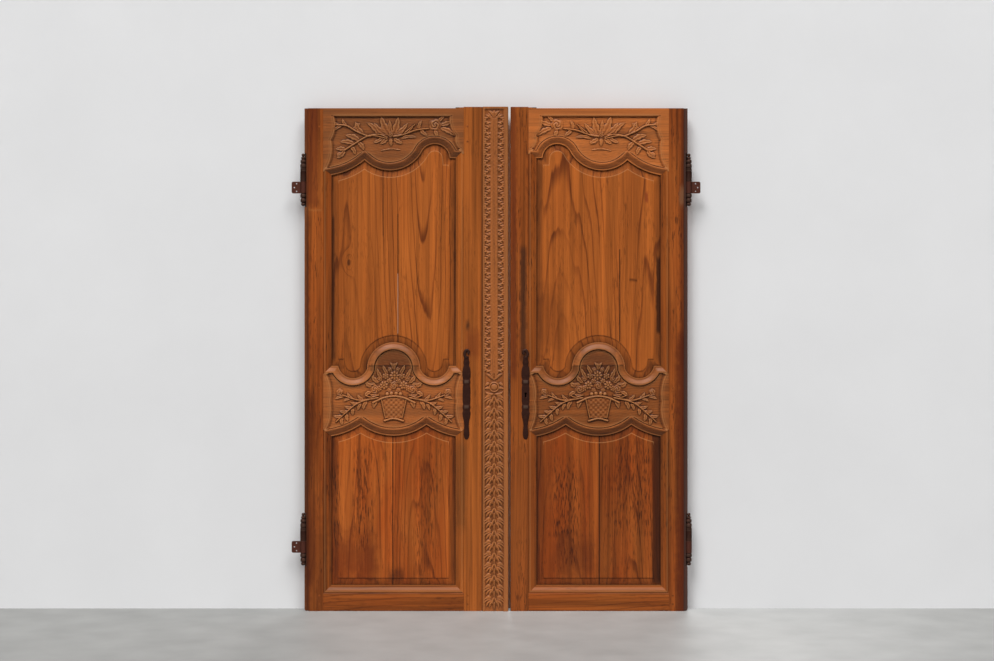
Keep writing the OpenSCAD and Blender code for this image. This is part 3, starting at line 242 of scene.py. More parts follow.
def arc(p, q, sag, steps):
    """Points of an arc from p to q; sag is its rise to the left of the way."""
    p, q = np.array(p, float), np.array(q, float)
    way = q - p
    half = np.linalg.norm(way) / 2
    left = np.array([-way[1], way[0]]) / (2 * half)
    radius = (half ** 2 + sag ** 2) / (2 * sag)
    centre = (p + q) / 2 + left * (sag - radius)
    start = math.atan2(p[1] - centre[1], p[0] - centre[0])
    turn = start - 4 * math.atan(sag / half) * np.arange(steps + 1) / steps
    return centre + abs(radius) * np.stack([np.cos(turn), np.sin(turn)], 1)


def crossing(a, b, c, d, inside=True):
    """Point where the line ab meets cd, or None where they don't within their lengths."""
    r, s = b - a, d - c
    area = r[0] * s[1] - r[1] * s[0]
    if abs(area) < 1e-9:
        return None
    t = ((c[0] - a[0]) * s[1] - (c[1] - a[1]) * s[0]) / area
    k = ((c[0] - a[0]) * r[1] - (c[1] - a[1]) * r[0]) / area
    if inside and not (0 <= t <= 1 and 0 <= k <= 1):
        return None
    return a + r * t


def shifted(points, d):
    """A run of points moved by d to its left."""
    way = np.diff(points, axis=0)
    way /= np.linalg.norm(way, axis=1)[:, None]
    left = np.stack([-way[:, 1], way[:, 0]], 1)
    inner = (left[:-1] + left[1:]) / (1 + (left[:-1] * left[1:]).sum(1))[:, None]
    return points + np.vstack([left[:1], inner, left[-1:]]) * d


def join_runs(a, b):
    """Cut two moved runs where they cross, or draw both on to their mitre."""
    for i in range(len(a) - 2, -1, -1):
        for j in range(len(b) - 1):
            hit = crossing(a[i], a[i + 1], b[j], b[j + 1])
            if hit is not None:
                a[i + 1:] = hit
                b[:j + 1] = hit
                return
    hit = crossing(a[-2], a[-1], b[0], b[1], inside=False)
    a[-1] = b[0] = (a[-1] + b[0]) / 2 if hit is None else hit


def end_at(points, u):
    """Cut a path back, or draw it on, so that it starts on the upright line at u."""
    for k in range(len(points) - 1):
        a, b = points[k].copy(), points[k + 1].copy()
        if a[0] != b[0] and (a[0] - u) * (b[0] - u) <= 0:
            points[:k + 1] = a + (b - a) * (u - a[0]) / (b[0] - a[0])
            return
    a, b = points[0].copy(), next(p for p in points[1:] if abs(p[0] - points[0][0]) > 1e-6)
    points[0] = a + (b - a) * (u - a[0]) / (b[0] - a[0])


def moved(edge, d):
    """A rail's edge moved by d into the rail, its ends on the mitres with the stiles."""
    runs = [shifted(run, d) for run in edge]
    for a, b in zip(runs, runs[1:]):
        join_runs(a, b)
    path = np.vstack(runs)
    start, end = edge[0][0][0], edge[-1][-1][0]
    ahead = math.copysign(1, end - start)
    end_at(path, start - ahead * d)
    end_at(path[::-1], end + ahead * d)
    return path


def grid_faces(rows, columns, wrap=False):
    """Quads between neighbouring points of a grid, closed across its columns if asked."""
    i, j = np.meshgrid(np.arange(rows - 1), np.arange(columns if wrap else columns - 1), indexing="ij")
    k = (j + 1) % columns
    quads = np.stack([i * columns + j, i * columns + k, (i + 1) * columns + k, (i + 1) * columns + j], -1)
    return quads.reshape(-1, 4).tolist()


def loft(rings, patina=0.0):
    """Closed shell through equal rings of points, capped at both ends."""
    rings = np.asarray(rings, float)
    rows, columns = rings.shape[:2]
    faces = grid_faces(rows, columns, wrap=True)
    faces += [list(range(columns))[::-1], list(range((rows - 1) * columns, rows * columns))]
    return rings.reshape(-1, 3), faces, np.broadcast_to(patina, (rows, columns)).reshape(-1)


def prism(outline, y0, y1):
    """Flat outline in u and z as a closed slab between two depths."""
    ring = np.insert(np.asarray(outline, float), 1, 0, axis=1)
    return loft([ring + (0, y, 0) for y in (y0, y1)])


def turned(profile, sides=40):
    """Closed turned shell from rows of radius, height and patina, about an upright axis at the origin."""
    angle = np.arange(sides) * 2 * math.pi / sides
    around = np.stack([np.cos(angle), np.sin(angle), 0 * angle], 1)
    rings = [around * r + (0, 0, z) for r, z, _ in profile]
    return loft(rings, np.array([[p] for _, _, p in profile]))


def placed(shell, offset):
    """A shell moved by an offset."""
    points, faces, patina = shell
    return points + np.asarray(offset, float), faces, patina


def swept(edge, section):
    """Moulding along an edge; the section's rows are distance into the rail, depth and patina."""
    rows = np.array([moved(edge, s) for s, _, _ in section])
    depth = np.array([y for _, y, _ in section])
    rings = np.stack([rows[:, :, 0], np.broadcast_to(depth[:, None], rows.shape[:2]), rows[:, :, 1]], -1)
    return loft(rings.transpose(1, 0, 2), np.array([[p for _, _, p in section]]))


def mesh_of(name, shells, side):
    """Mesh of closed shells given in a leaf's frame, in millimetres; the right leaf is the mirror image."""
    points, faces, patina, start = [], [], [], 0
    for verts, quads, shade in shells:
        points.append(verts)
        patina.append(shade)
        faces += [[i + start for i in quad] for quad in quads]
        start += len(verts)
    points = np.vstack(points) * MM
    sign = -1 if side == "right" else 1
    points = np.stack([sign * (points[:, 0] + STILE_LOW.x), points[:, 1] + STILE_LOW.y, points[:, 2]], 1)
    mesh = bpy.data.meshes.new(name)
    mesh.from_pydata(points.tolist(), [], faces)
    # Patina per point: grime and wear together with painted shade and painted highlight.
    mesh.attributes.new("patina", "FLOAT", "POINT").data.foreach_set("value", np.concatenate(patina))
    return mesh


def tidy(mesh, smooth_angle=40):
    """Merge doubled points, face every shell outwards and smooth its curves."""
    work = bmesh.new()
    work.from_mesh(mesh)
    bmesh.ops.remove_doubles(work, verts=work.verts, dist=0.01 * MM)
    bmesh.ops.dissolve_degenerate(work, edges=work.edges, dist=0.002 * MM)
    bmesh.ops.recalc_face_normals(work, faces=work.faces)
    work.to_mesh(mesh)
    work.free()
    mesh.polygons.foreach_set("use_smooth", [True] * len(mesh.polygons))
    mesh.set_sharp_from_angle(angle=math.radians(smooth_angle))


def shaped(name, shells, side, smooth_angle=40):
    """Finished mesh of closed shells."""
    mesh = mesh_of(name, shells, side)
    tidy(mesh, smooth_angle)
    return mesh


def piece(node, mesh, body, material):
    """Object of a finished mesh that rides on a body and stands for a CAD node."""
    made = bpy.data.objects.new(node, mesh)
    bpy.context.scene.collection.objects.link(made)
    mesh.materials.append(material)
    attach(made, body)
    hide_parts(node)


def cut_by(mesh, shells, side):
    """Take closed shells away from a closed mesh."""
    cutter = bpy.data.objects.new("cutter", mesh_of("cutter", shells, side))
    tidy(cutter.data)
    target = bpy.data.objects.new("target", mesh)
    for made in (cutter, target):
        bpy.context.scene.collection.objects.link(made)
    cut = target.modifiers.new("cut", "BOOLEAN")
    cut.operation, cut.solver, cut.object = "DIFFERENCE", "EXACT", cutter
    graph = bpy.context.evaluated_depsgraph_get()
    result = bpy.data.meshes.new_from_object(target.evaluated_get(graph), depsgraph=graph)
    for made in (cutter, target):
        bpy.data.objects.remove(made)
    return result


def half_of(mesh, axis, at, keep_above):
    """The part of a closed mesh on one side of a plane, its cut closed."""
    work = bmesh.new()
    work.from_mesh(mesh)
    normal, place = [0, 0, 0], [0, 0, 0]
    normal[axis], place[axis] = 1, at
    cut = bmesh.ops.bisect_plane(work, geom=work.verts[:] + work.edges[:] + work.faces[:], dist=1e-7,
                                 plane_co=place, plane_no=normal, clear_inner=keep_above,
                                 clear_outer=not keep_above)
    edges = [e for e in cut["geom_cut"] if isinstance(e, bmesh.types.BMEdge)]
    bmesh.ops.holes_fill(work, edges=edges, sides=0)
    kept = bpy.data.meshes.new(mesh.name + "_part")
    work.to_mesh(kept)
    work.free()
    return kept


def joined(mesh, other):
    """One mesh of two, the second added to the first."""
    work = bmesh.new()
    work.from_mesh(mesh)
    work.from_mesh(other)
    work.to_mesh(mesh)
    work.free()
    return mesh


def blurred(values, reach):
    """Box blur of a grid over a reach of points each way."""
    for axis in (0, 1):
        wide = np.pad(values, [(reach + 1, reach) if a == axis else (0, 0) for a in (0, 1)], mode="edge")
        total = np.cumsum(wide, axis=axis)
        ahead, behind = [slice(None)] * 2, [slice(None)] * 2
        ahead[axis], behind[axis] = slice(2 * reach + 1, None), slice(None, -2 * reach - 1)
        values = (total[tuple(ahead)] - total[tuple(behind)]) / (2 * reach + 1)
    return values


def distance_to(path, u, z):
    """Distance of grid points from a polyline."""
    nearest = np.full(u.shape, 1e9)
    for (au, az), (bu, bz) in zip(path[:-1], path[1:]):
        wu, wz = bu - au, bz - az
        span = wu * wu + wz * wz
        if span < 1e-12:
            continue
        t = np.clip(((u - au) * wu + (z - az) * wz) / span, 0, 1)
        nearest = np.minimum(nearest, np.hypot(u - au - t * wu, z - az - t * wz))
    return nearest


def inside(outline, u, z):
    """Which grid points lie inside a closed outline."""
    found = np.zeros(u.shape, bool)
    for (au, az), (bu, bz) in zip(outline, np.roll(outline, -1, axis=0)):
        if az == bz:
            continue
        crosses = (az > z) != (bz > z)
        found ^= crosses & (u < (bu - au) * (z - az) / (bz - az) + au)
    return found


def solid_cells(solid):
    """Cells of a grid whose four corners are all solid."""
    return solid[:-1, :-1] & solid[1:, 1:] & solid[1:, :-1] & solid[:-1, 1:]


def largest(keep):
    """Only the cells that hang together with the grid's middle."""
    grown = np.zeros_like(keep)
    grown[keep.shape[0] // 2, keep.shape[1] // 2] = True
    count = 0
    while grown.sum() != count:
        count = grown.sum()
        for _ in range(12):
            wide = grown.copy()
            wide[1:] |= grown[:-1]
            wide[:-1] |= grown[1:]
            wide[:, 1:] |= grown[:, :-1]
            wide[:, :-1] |= grown[:, 1:]
            grown = wide & keep
    return grown


def smooth(t):
    """Smooth step from 0 to 1."""
    t = np.clip(t, 0, 1)
    return t * t * (3 - 2 * t)


class Relief:
    """Carved heights above a ground, on a grid of u and z."""

    def __init__(self, us, zs):
        self.us, self.zs = us, zs
        self.u, self.z = np.meshgrid(us, zs)
        self.height = np.zeros(self.u.shape)

    def window(self, low, high):
        """Slices of the grid around a box, and the points in it."""
        columns = slice(*np.searchsorted(self.us, (low[0], high[0])))
        rows = slice(*np.searchsorted(self.zs, (low[1], high[1])))
        return (rows, columns), self.u[rows, columns], self.z[rows, columns]

    def raise_to(self, place, height):
        """Carve a form where it stands above what is there."""
        self.height[place] = np.maximum(self.height[place], height)

    def leaf(self, p, q, width, bend=0.0, rise=3.8, lobes=0, vein=0.5, hollow=0.0):
        """Leaf from its root p to its tip q, bent to its left, with a vein and lobed or hollowed edges."""
        p, q = np.array(p, float), np.array(q, float)
        span = np.linalg.norm(q - p)
        way = (q - p) / span
        reach = width + abs(bend) * span
        place, u, z = self.window(np.minimum(p, q) - reach, np.maximum(p, q) + reach)
        share = ((u - p[0]) * way[0] + (z - p[1]) * way[1]) / span
        along = np.clip(share, 0, 1)
        across = (z - p[1]) * way[0] - (u - p[0]) * way[1] - 4 * bend * span * along * (1 - along)
        half = width / 2 * np.sin(math.pi * np.clip(along, 0.02, 0.98) ** 0.8) ** 0.7
        if lobes:
            wave = math.pi * lobes * (along + 0.06 * np.abs(across) / width)
            half = half * (0.72 + 0.28 * np.abs(np.sin(wave)))
        s = np.abs(across) / np.maximum(half, 0.3)
        form = (1 - np.clip(s, 0, 1) ** (3 + 3 * hollow)) * (0.5 + 0.5 * np.sin(math.pi * along) ** 0.6)
        form = form * (1 - hollow * (1 - smooth(s / 0.75)))
        form = form * (1 - vein * (1 - 2 * hollow) * np.exp(-(s / 0.2) ** 2) * smooth((1 - along) * 6))
        self.raise_to(place, np.where((s < 1) & (share == along), rise * form, 0))

    def stem(self, points, radius, tip_radius=None, rise=5.0):
        """Half-round stem along a smooth curve through points."""
        path = curve(points)
        radii = np.linspace(radius, tip_radius or radius, len(path))
        place, u, z = self.window(path.min(0) - radius, path.max(0) + radius)
        height = np.zeros(u.shape)
        for (a, b), r in zip(zip(path[:-1], path[1:]), radii):
            away = distance_to([a, b], u, z) / r
            crown = rise * min(1, r / radius + 0.3)
            height = np.maximum(height, crown * np.sqrt(np.clip(1 - away ** 2, 0, 1)))
        self.raise_to(place, height)

    def rose(self, c, radius, petals=5, rise=5.0, turn=0.0):
        """Rose with petals that wind around its heart."""
        place, u, z = self.window(np.array(c) - radius, np.array(c) + radius)
        away, angle = np.hypot(u - c[0], z - c[1]) / radius, np.arctan2(z - c[1], u - c[0]) + turn
        edge = 0.84 + 0.16 * np.abs(np.cos(petals * angle / 2))
        s = np.clip(away / edge, 0, 1)
        rings = 0.72 + 0.28 * np.cos(2 * math.pi * (2.1 * s + petals * angle / (2 * math.pi) * 0.4))
        heart = np.exp(-(away / 0.2) ** 2) * 0.35
        self.raise_to(place, np.where(s < 1, rise * ((1 - s ** 4) * rings * 0.85 + heart), 0))

    def daisy(self, c, radius, petals=8, rise=4.8, turn=0.0):
        """Open flower with separate petals around a boss."""
        place, u, z = self.window(np.array(c) - radius, np.array(c) + radius)
        away, angle = np.hypot(u - c[0], z - c[1]) / radius, np.arctan2(z - c[1], u - c[0]) + turn
        petal = np.abs(np.cos(petals * angle / 2))
        edge = 0.62 + 0.38 * petal ** 0.5
        form = (1 - np.clip(away / edge, 0, 1) ** 5) * (0.5 + 0.5 * petal ** 0.7)
        boss = np.sqrt(np.clip(1 - (away / 0.27) ** 2, 0, 1)) * 0.95
        form = np.where((away > 0.27) & (away < 0.36), form * 0.4, form)
        self.raise_to(place, rise * np.maximum(np.where(away < edge, form * 0.82, 0), boss))

    def bead(self, c, radius, rise=4.4):
        """Round bead or berry."""
        place, u, z = self.window(np.array(c) - radius, np.array(c) + radius)
        away = np.hypot(u - c[0], z - c[1]) / radius
        self.raise_to(place, rise * np.sqrt(np.clip(1 - away ** 2, 0, 1)))


def curve(points, steps=8):
    """Smooth curve through points."""
    p = np.array(points, float)
    p = np.vstack([2 * p[0] - p[1], p, 2 * p[-1] - p[-2]])
    t = np.arange(steps)[:, None] / steps
    runs = []
    for a, b, c, d in zip(p[:-3], p[1:-2], p[2:-1], p[3:]):
        runs.append(b + 0.5 * t * (c - a + t * (2 * a - 5 * b + 4 * c - d + t * (3 * (b - c) + d - a))))
    return np.vstack(runs + [p[-2:-1]])


def relief_plate(us, zs, depth, keep, back, grime=1.0):
    """Closed plate with a carved front; keep says which cells of the grid it has."""
    for step in (1, -1):
        a, b = keep[:-1, ::step], keep[1:, ::step]
        pinch = a[:, :-1] & b[:, 1:] & ~a[:, 1:] & ~b[:, :-1]
        b[:, :-1] |= pinch
    columns = len(us)
    i, j = np.nonzero(keep)
    corner = i * columns + j
    quads = np.stack([corner, corner + 1, corner + columns + 1, corner + columns], 1)
    used, index = np.unique(quads, return_inverse=True)
    quads = index.reshape(quads.shape)
    u, z = np.meshgrid(us, zs)
    front = np.stack([u.ravel()[used], depth.ravel()[used], z.ravel()[used]], 1)
    # Darker in hollows and on the ground around the motifs, lighter on raised parts: grime and wear together
    # with painted shade and painted highlight; the wide blur adds only painted shade and highlight.
    cavity = (depth - blurred(depth, 3)) / 1.1 + (depth - blurred(depth, 9)) / 4.5
    shade = grime * np.clip(cavity, -1, 1).ravel()[used]
    ways = np.concatenate([quads[:, [k, (k + 1) % 4]] for k in range(4)])
    count = len(used)
    key = ways[:, 0] * count + ways[:, 1]
    lone = ways[~np.isin(key, ways[:, 1] * count + ways[:, 0])]
    follow = dict(lone.tolist())
    rim, at = [], int(lone[0, 0])
    while at not in rim[:1]:
        rim.append(at)
        at = follow[at]
    behind = front[rim] * (1, 0, 1) + (0, back, 0)
    ring = [count + k for k in range(len(rim))]
    walls = [[rim[k], ring[k], ring[(k + 1) % len(rim)], rim[(k + 1) % len(rim)]] for k in range(len(rim))]
    points = np.vstack([front, behind])
    return points, quads.tolist() + walls + [ring], np.concatenate([shade, np.zeros(len(rim))])


def spaced(low, high, step):
    """Even points from low to high, about a step apart."""
    return np.linspace(low, high, int(round((high - low) / step)) + 1)


def mould_section(plan, ridge_d, quirk_d, outer_d, wear=0.0, lip=-0.6):
    """Section of the moulding around a panel: a fillet, an ogee up to the ridge, and a quirk behind it.

    Its rows are distance into the rail, depth, and how much darker (above zero) or lighter it is drawn.
    Facing shade is painted shade added along the ogee where the moulding faces down, and, below zero, a
    painted highlight where it faces up; lip is that of the fillet, a painted shade line beside the panel on
    the stiles and a lighter line on the rails."""
    w, edge, under = plan.moulding_w, plan.mould_edge_d, plan.groove_y - 0.1
    fillet, ridge = 3.0, w - 5.6
    # Grime and painted shade down the wall to the panel and in the quirk, which is darker the deeper it is;
    # the ridge's arris is lighter, wear with a painted highlight.
    grime = 0.15 * (quirk_d - ridge_d) - 0.1
    section = [(0, under, 0.9), (0, edge + 1.2, 0.6), (0.3, edge + 0.2, lip / 2), (1.0, edge, lip),
               (fillet, edge - 0.1, lip / 3)]
    # Along the ogee: darker just above the fillet and lighter towards the ridge, grime and wear together
    # with painted shade and a painted highlight.
    for t in np.linspace(0.1, 1, 14):
        dirt = 0.45 * math.exp(-((t - 0.12) / 0.14) ** 2) - 0.5 * smooth((t - 0.8) / 0.2)
        section.append((fillet + (ridge - fillet) * t, edge + (ridge_d - edge) * smooth(t), dirt + wear))
    fall = ridge_d + 0.45 * (quirk_d - ridge_d)
    return section + [(w - 4.4, ridge_d + 0.5, -0.4), (w - 3.4, fall, 0.2), (w - 2.8, quirk_d, grime),
                      (w - 1.4, quirk_d, grime), (w, outer_d, 0.3 * grime), (w, under, 0.0)]


def plain_moulding(plan, wear, lip=-0.6):
    """Section of the moulding on the stiles and the bottom rails, almost level with the face."""
    return mould_section(plan, 0.5, 2.0, 1.2, wear, lip)


def carved_moulding(plan, wear):
    """Section of the bolder moulding on the carved rails, with a deep quirk to the sunk ground."""
    return mould_section(plan, -0.9, 6.9, plan.ground_d + 1.5, wear)


def bracket(top, cusp, foot, sag):
    """Curved end of a carved ground, from its top to its foot."""
    return np.vstack([arc(top, cusp, sag, 12), arc(cusp, foot, sag, 12)[1:]])


def sunk_depth(plan, relief, ground, borders, edges):
    """Depth of a carved rail's front: face, sunk ground with its relief, and hidden under the mouldings.

    A border is a line of the ground's outline and the width over which the ground falls away from it."""
    level = inside(ground, relief.u, relief.z).astype(float)
    line_d, line_w = 0.0, 1.7
    for path, width in borders:
        away = distance_to(path, relief.u, relief.z)
        level = level * smooth(away / width)
        line_d = line_d + 0.9 * np.exp(-(away / line_w) ** 2)
    wander = 0.8 * np.sin(relief.u / 17)
    tool_marks = 0.26 * np.sin(relief.z * 1.1 + wander) * np.sin(relief.u / 6.3 + relief.z / 11)
    depth = level * (plan.ground_d + tool_marks - relief.height) + line_d
    under = np.full(relief.u.shape, 1e9)
    for edge in edges:
        under = np.minimum(under, distance_to(np.vstack(edge), relief.u, relief.z))
    hidden_d, overlap = 9.5, 0.9
    return np.where(under < plan.moulding_w - overlap, hidden_d, depth), under


def top_carving(plan, relief):
    """Palmette with crossed twigs and roses."""
    foot = np.array([plan.mid_u - 12.5, plan.leaf_h - 105.5])

    def stem(radius, *points):
        """Tapered twig through points from the palmette's foot."""
        relief.stem([foot + p for p in points], radius, radius * 0.7)

    stem(3.4, (-196, 45), (-160, 41), (-127, 22), (-84, 4), (-62, 5), (-36, 0), (-12, -6))
    stem(3.4, (-168, -49), (-127, -23), (-84, 2), (-41, 9), (-11, -2))
    stem(3.4, (12, 2), (50, 9), (96, 25), (142, 31))
    stem(2.6, (54, 15), (92, 46))
    stem(2.4, (66, 16), (82, 34))
    relief.stem([foot + p for p in ((-32, -50), (0, -44), (36, -47))], 2.0, rise=2.4)
    # Root, tip, width, bend and, where there aren't three, the number of lobes.
    leaves = (
        (0, 4, -33, 74, 31, 0.06), (8, 4, 30, 72, 29, -0.06), (2, 8, -2, 62, 17, 0, 2),
        (-10, 6, -60, 52, 24, 0.08), (-41, 7, -86, 53, 22, -0.10), (12, 4, 64, 50, 22, -0.08),
        (14, 0, 52, 26, 17, -0.05, 2), (-10, -4, -36, -26, 19, 0.05),
        (-26, -2, -62, -20, 16, 0.08, 2), (14, -6, 46, -24, 19, -0.05),
        (40, -6, 98, -2, 15, 0.10, 2), (2, -6, 4, -34, 15, 0, 2), (-98, 12, -128, 56, 22, 0.12, 2),
        (-138, 28, -112, 50, 15, -0.1, 2), (-160, 41, -176, 66, 14, 0.1, 2),
        (-190, 44, -220, 54, 14, 0, 2), (-176, 42, -206, 22, 13, -0.1, 2),
        (-112, -14, -164, 6, 24, -0.08), (-132, -26, -184, -18, 21, -0.08),
        (-118, -20, -96, -50, 19, 0.1), (-144, -36, -128, -66, 18, 0.1, 2),
        (-164, -46, -200, -44, 20, -0.05), (-166, -48, -196, -78, 20, 0.08),
        (106, 27, 116, 60, 15, 0.1, 2), (112, 27, 138, 6, 17, -0.1, 2),
        (178, 56, 200, 80, 15, 0, 2), (186, 44, 230, 60, 20, -0.06), (186, 32, 238, 4, 22, 0.08),
        (164, 24, 172, -8, 17, 0.08, 2),
    )
    for u0, z0, u1, z1, width, bend, *lobes in leaves:
        lobed = lobes[0] if lobes else 3
        relief.leaf(foot + (u0, z0), foot + (u1, z1), width, bend, lobes=lobed, hollow=0.45)
    roses = ((165, 44, 24, 0), (3, 10, 13, 0.4), (-186, -66, 11, 0.9), (-122, 42, 10, 0.2))
    for u, z, radius, turn in roses:
        relief.rose(foot + (u, z), radius, turn=turn)


def basket(relief, rim):
    """Wicker basket with an arched rim and foot."""
    tall = 78
    place, u, z = relief.window(rim + (-60, -tall), rim + (60, -4))
    down = (rim[1] - z) / tall
    s = (u - rim[0]) / (48 - 17 * down)
    strand = 9.0
    over = np.cos(math.pi * (u - rim[0]) / strand) * np.cos(math.pi * z / strand)
    body = (3.0 + 0.8 * over) * np.sqrt(np.clip(1 - (s * 0.8) ** 2, 0, 1))
    relief.raise_to(place, np.where(np.abs(s) < 1, body, 0))
    for k in (-1, 1):
        relief.stem([rim + (k * 46, -8), rim + (k * 31, -tall)], 2.4, rise=4.4)
    relief.stem([rim + p for p in ((-76, -22), (-40, -5), (0, 2), (40, -5), (77, -22))], 4.0, rise=5.4)
    relief.stem([rim + p for p in ((-34, -88), (0, -80), (35, -89))], 3.6, rise=5.2)


def middle_carving(plan, relief):
    """Flower basket between two pairs of branches."""
    rim = np.array([plan.mid_u + 1, plan.mid_lower_z + 145.3])
    basket(relief, rim)
    # Radius at both ends, and points from the basket's rim.
    twigs = ((3.2, 2.2, (62, -4), (98, -11), (134, -12), (188, 6)),
             (3.2, 2.2, (58, -4), (100, -12), (138, -27), (178, -60), (212, -92)),
             (2.6, 1.8, (56, 6), (84, -2), (106, 6)))
    # Root, tip, width, bend and, where there aren't three, the number of lobes.
    leaves = (
        (62, -18, 74, -42, 17, 0.16, 0), (98, -18, 112, -48, 17, 0.14, 2),
        (120, -26, 132, -50, 14, 0.10, 2), (128, -24, 160, -20, 13, -0.12, 2),
        (150, -40, 182, -34, 15, -0.12, 2), (148, -44, 150, -68, 15, 0.12, 2),
        (166, -54, 200, -52, 16, -0.12, 2), (172, -64, 168, -90, 16, 0.12, 2),
        (188, -72, 222, -70, 16, -0.08, 2), (192, -78, 188, -104, 16, 0.10, 2),
        (112, -12, 134, 8, 13, -0.10, 2), (150, -8, 172, 16, 13, -0.10, 2),
        (160, -8, 186, -18, 12, 0.1, 2), (184, 2, 216, -8, 14, 0.05, 2),
        (84, 18, 108, 0, 17, 0.1, 2), (82, 36, 104, 58, 18, -0.1), (56, 50, 82, 84, 18, -0.08),
        (42, 66, 62, 104, 17, -0.06), (22, 84, 40, 116, 16, -0.06, 2),
        (60, 8, 88, 8, 12, -0.1, 2), (66, 44, 94, 44, 13, 0.1, 2),
        (2, 104, 14, 126, 11, 0.1, 2),
    )
    # Place, radius, turn and rise.
    roses = ((199, 17, 14, 0.3, 5.0), (70, 27, 18, 0.2, 5.0), (52, 66, 12, 0.6, 4.4), (14, 99, 11, 0.9, 4.2),
             (17, 24, 10, 0.5, 4.4))
    # Place, radius, number of petals, turn and rise.
    daisies = ((36, 42, 17, 7, 0.3, 4.8), (30, 76, 13, 6, 0.5, 4.8), (17, 58, 11, 6, 0.2, 4.2),
               (54, 30, 12, 6, 0.4, 4.2))
    for s in (-1, 1):
        for radius, tip_radius, *points in twigs:
            relief.stem([rim + (s * u, z) for u, z in points], radius, tip_radius)
        for u0, z0, u1, z1, width, bend, *lobes in leaves:
            lobed = lobes[0] if lobes else 3
            relief.leaf(rim + (s * u0, z0), rim + (s * u1, z1), width, s * bend, lobes=lobed, hollow=0.35)
        for u, z, radius, turn, rise in roses:
            relief.rose(rim + (s * u, z), radius, turn=turn * s, rise=rise)
        for u, z, radius, petals, turn, rise in daisies:
            relief.daisy(rim + (s * u, z), radius, petals, rise, turn * s)
        for u, z in ((9, 12), (24, 10)):
            relief.bead(rim + (s * u, z), 7.2)
    relief.daisy(rim + (3, 78), 20, 8)
    relief.rose(rim + (0, 42), 17)
    relief.leaf(rim + (0, 98), rim + (1, 124), 15, lobes=2)


def mullion_carving(plan, relief, middle):
    """Stem with curled leaves above a knot, and a laurel of lobed leaves below it."""
    knot, top, ring_r = 823.0, plan.leaf_h - 8, 16.5
    curl_pitch, laurel_pitch = 39.6, 41.0

    def pair(root, tip, width, bend, rise=4.0, vein=0.35):
        """Leaf and its mirror image on either side of the middle."""
        for s in (-1, 1):
            relief.leaf((middle + s * root[0], root[1]), (middle + s * tip[0], tip[1]), width, s * bend,
                        rise=rise, vein=vein)

    place, u, _ = relief.window((middle - 17, knot + 50), (middle + 17, top - 30))
    across = np.abs(u - middle) / 16
    relief.raise_to(place, 3.4 * np.clip(1 - across ** 6, 0, 1))
    for i in range(int((top - knot - 58) / curl_pitch)):
        z0 = knot + 58 + i * curl_pitch
        for s in (-1, 1):
            way = [(middle + s * du, z0 + dz) for du, dz in ((13, 3), (22, 2), (31, 8), (31, 17), (24, 20))]
            relief.stem(way, 3.4, 2.6, rise=3.4)
        for root, tip, lift in ((15, 30, -5), (27, 36, 2), (28, 38, 11), (24, 37, 21), (16, 33, 30)):
            pair((root, z0 + 0.6 * lift + 4), (tip, z0 + lift), 8.5, 0.10, rise=3.6, vein=0)
        pair((13, z0 + 22), (22, z0 + 36), 8, 0.1, rise=3.6, vein=0)
        relief.leaf((middle, z0 + 14), (middle, z0 + 34), 8, rise=4.0, vein=0.6)
    pair((2, top - 26), (20, top - 2), 13, 0.12)
    pair((3, top - 34), (30, top - 22), 12, 0.12)
    relief.leaf((middle, top - 32), (middle, top), 15, rise=4.4, hollow=0.4)
    pair((0, knot + 26), (32, knot + 50), 11, 0.06, vein=0.3)
    pair((4, knot + 34), (20, knot + 62), 13, 0.12)
    pair((17, knot + 14), (33, knot + 4), 11, 0.12)
    pair((15, knot - 6), (34, knot - 6), 11, 0.14)
    pair((2, knot - 26), (32, knot - 16), 12, -0.18)
    around = np.linspace(0, 2 * math.pi, 13)
    ring = [(middle + ring_r * math.cos(a), knot + ring_r * math.sin(a)) for a in around]
    relief.stem(ring, 2.6, rise=3.4)
    relief.bead((middle, knot), 12.5, rise=4.6)
    for i in range(int((knot - 24) / laurel_pitch)):
        z0 = knot - 34 - (i + 1) * laurel_pitch
        for root, foot, tip, end in ((11, 42, 31, 40), (10, 39, 37, 31), (9, 35, 37, 19), (8, 31, 29, 6)):
            pair((root, z0 + foot), (tip, z0 + end), 9.5, 0.14, rise=3.9, vein=0)
        pair((4, z0 + 33), (17, z0 + 1), 8.5, 0.10, rise=4.1, vein=0)
        pair((1, z0 + 41), (8, z0 + 12), 8, 0.06, rise=4.3, vein=0)
        relief.leaf((middle, z0 + 24), (middle, z0 - 4), 8, rise=4.4, vein=0.3)


def add_node(tree, kind, inputs=None, out=0, **settings):
    """Add a node with its settings and give one of its outputs; an input is a value or such an output."""
    made = tree.nodes.new("ShaderNode" + kind)
    for key, value in settings.items():
        setattr(made, key, value)
    for key, value in (inputs or {}).items():
        if isinstance(value, bpy.types.NodeSocket):
            tree.links.new(value, made.inputs[key])
        else:
            made.inputs[key].default_value = value
    return made.outputs[out]


def new_material(name):
    """Material with an empty surface, its way to add nodes and its surface shader."""
    made = bpy.data.materials.new(name)
    made.use_nodes = True
    return made, partial(add_node, made.node_tree), made.node_tree.nodes["Principled BSDF"]


# Patterns in the pine: width across the grain and length along it in millimetres, and detail.
PINE_PATTERNS = {
    "sway": (110, 800, 2.0),
    "waver": (30, 700, 2.0),
    "shown": (70, 600, 2.0),
    "streak": (22, 900, 5.0),
    "fibre": (2.2, 120, 3.0),
    "cloud": (75, 330, 4.0),
    "line": (5.0, 420, 2.0),
    "fleck": (4.0, 34, 2.0),
    "patch": (60, 240, 2.0),
    "uneven": (7, 90, 3.0),
}


def pine_spots(add, grain):
    """The pine's patterns, drawn out along the grain."""
    spots = {}
    for key, (wide, long, detail) in PINE_PATTERNS.items():
        stretch = (1 / (wide * MM), 1 / (wide * MM), 1 / (long * MM))
        drawn = add("Mapping", {"Vector": grain, "Scale": stretch})
        spots[key] = add("TexNoise", {"Vector": drawn, "Scale": 1.0, "Detail": detail},
                         out="Color" if key == "sway" else "Fac")
    return spots


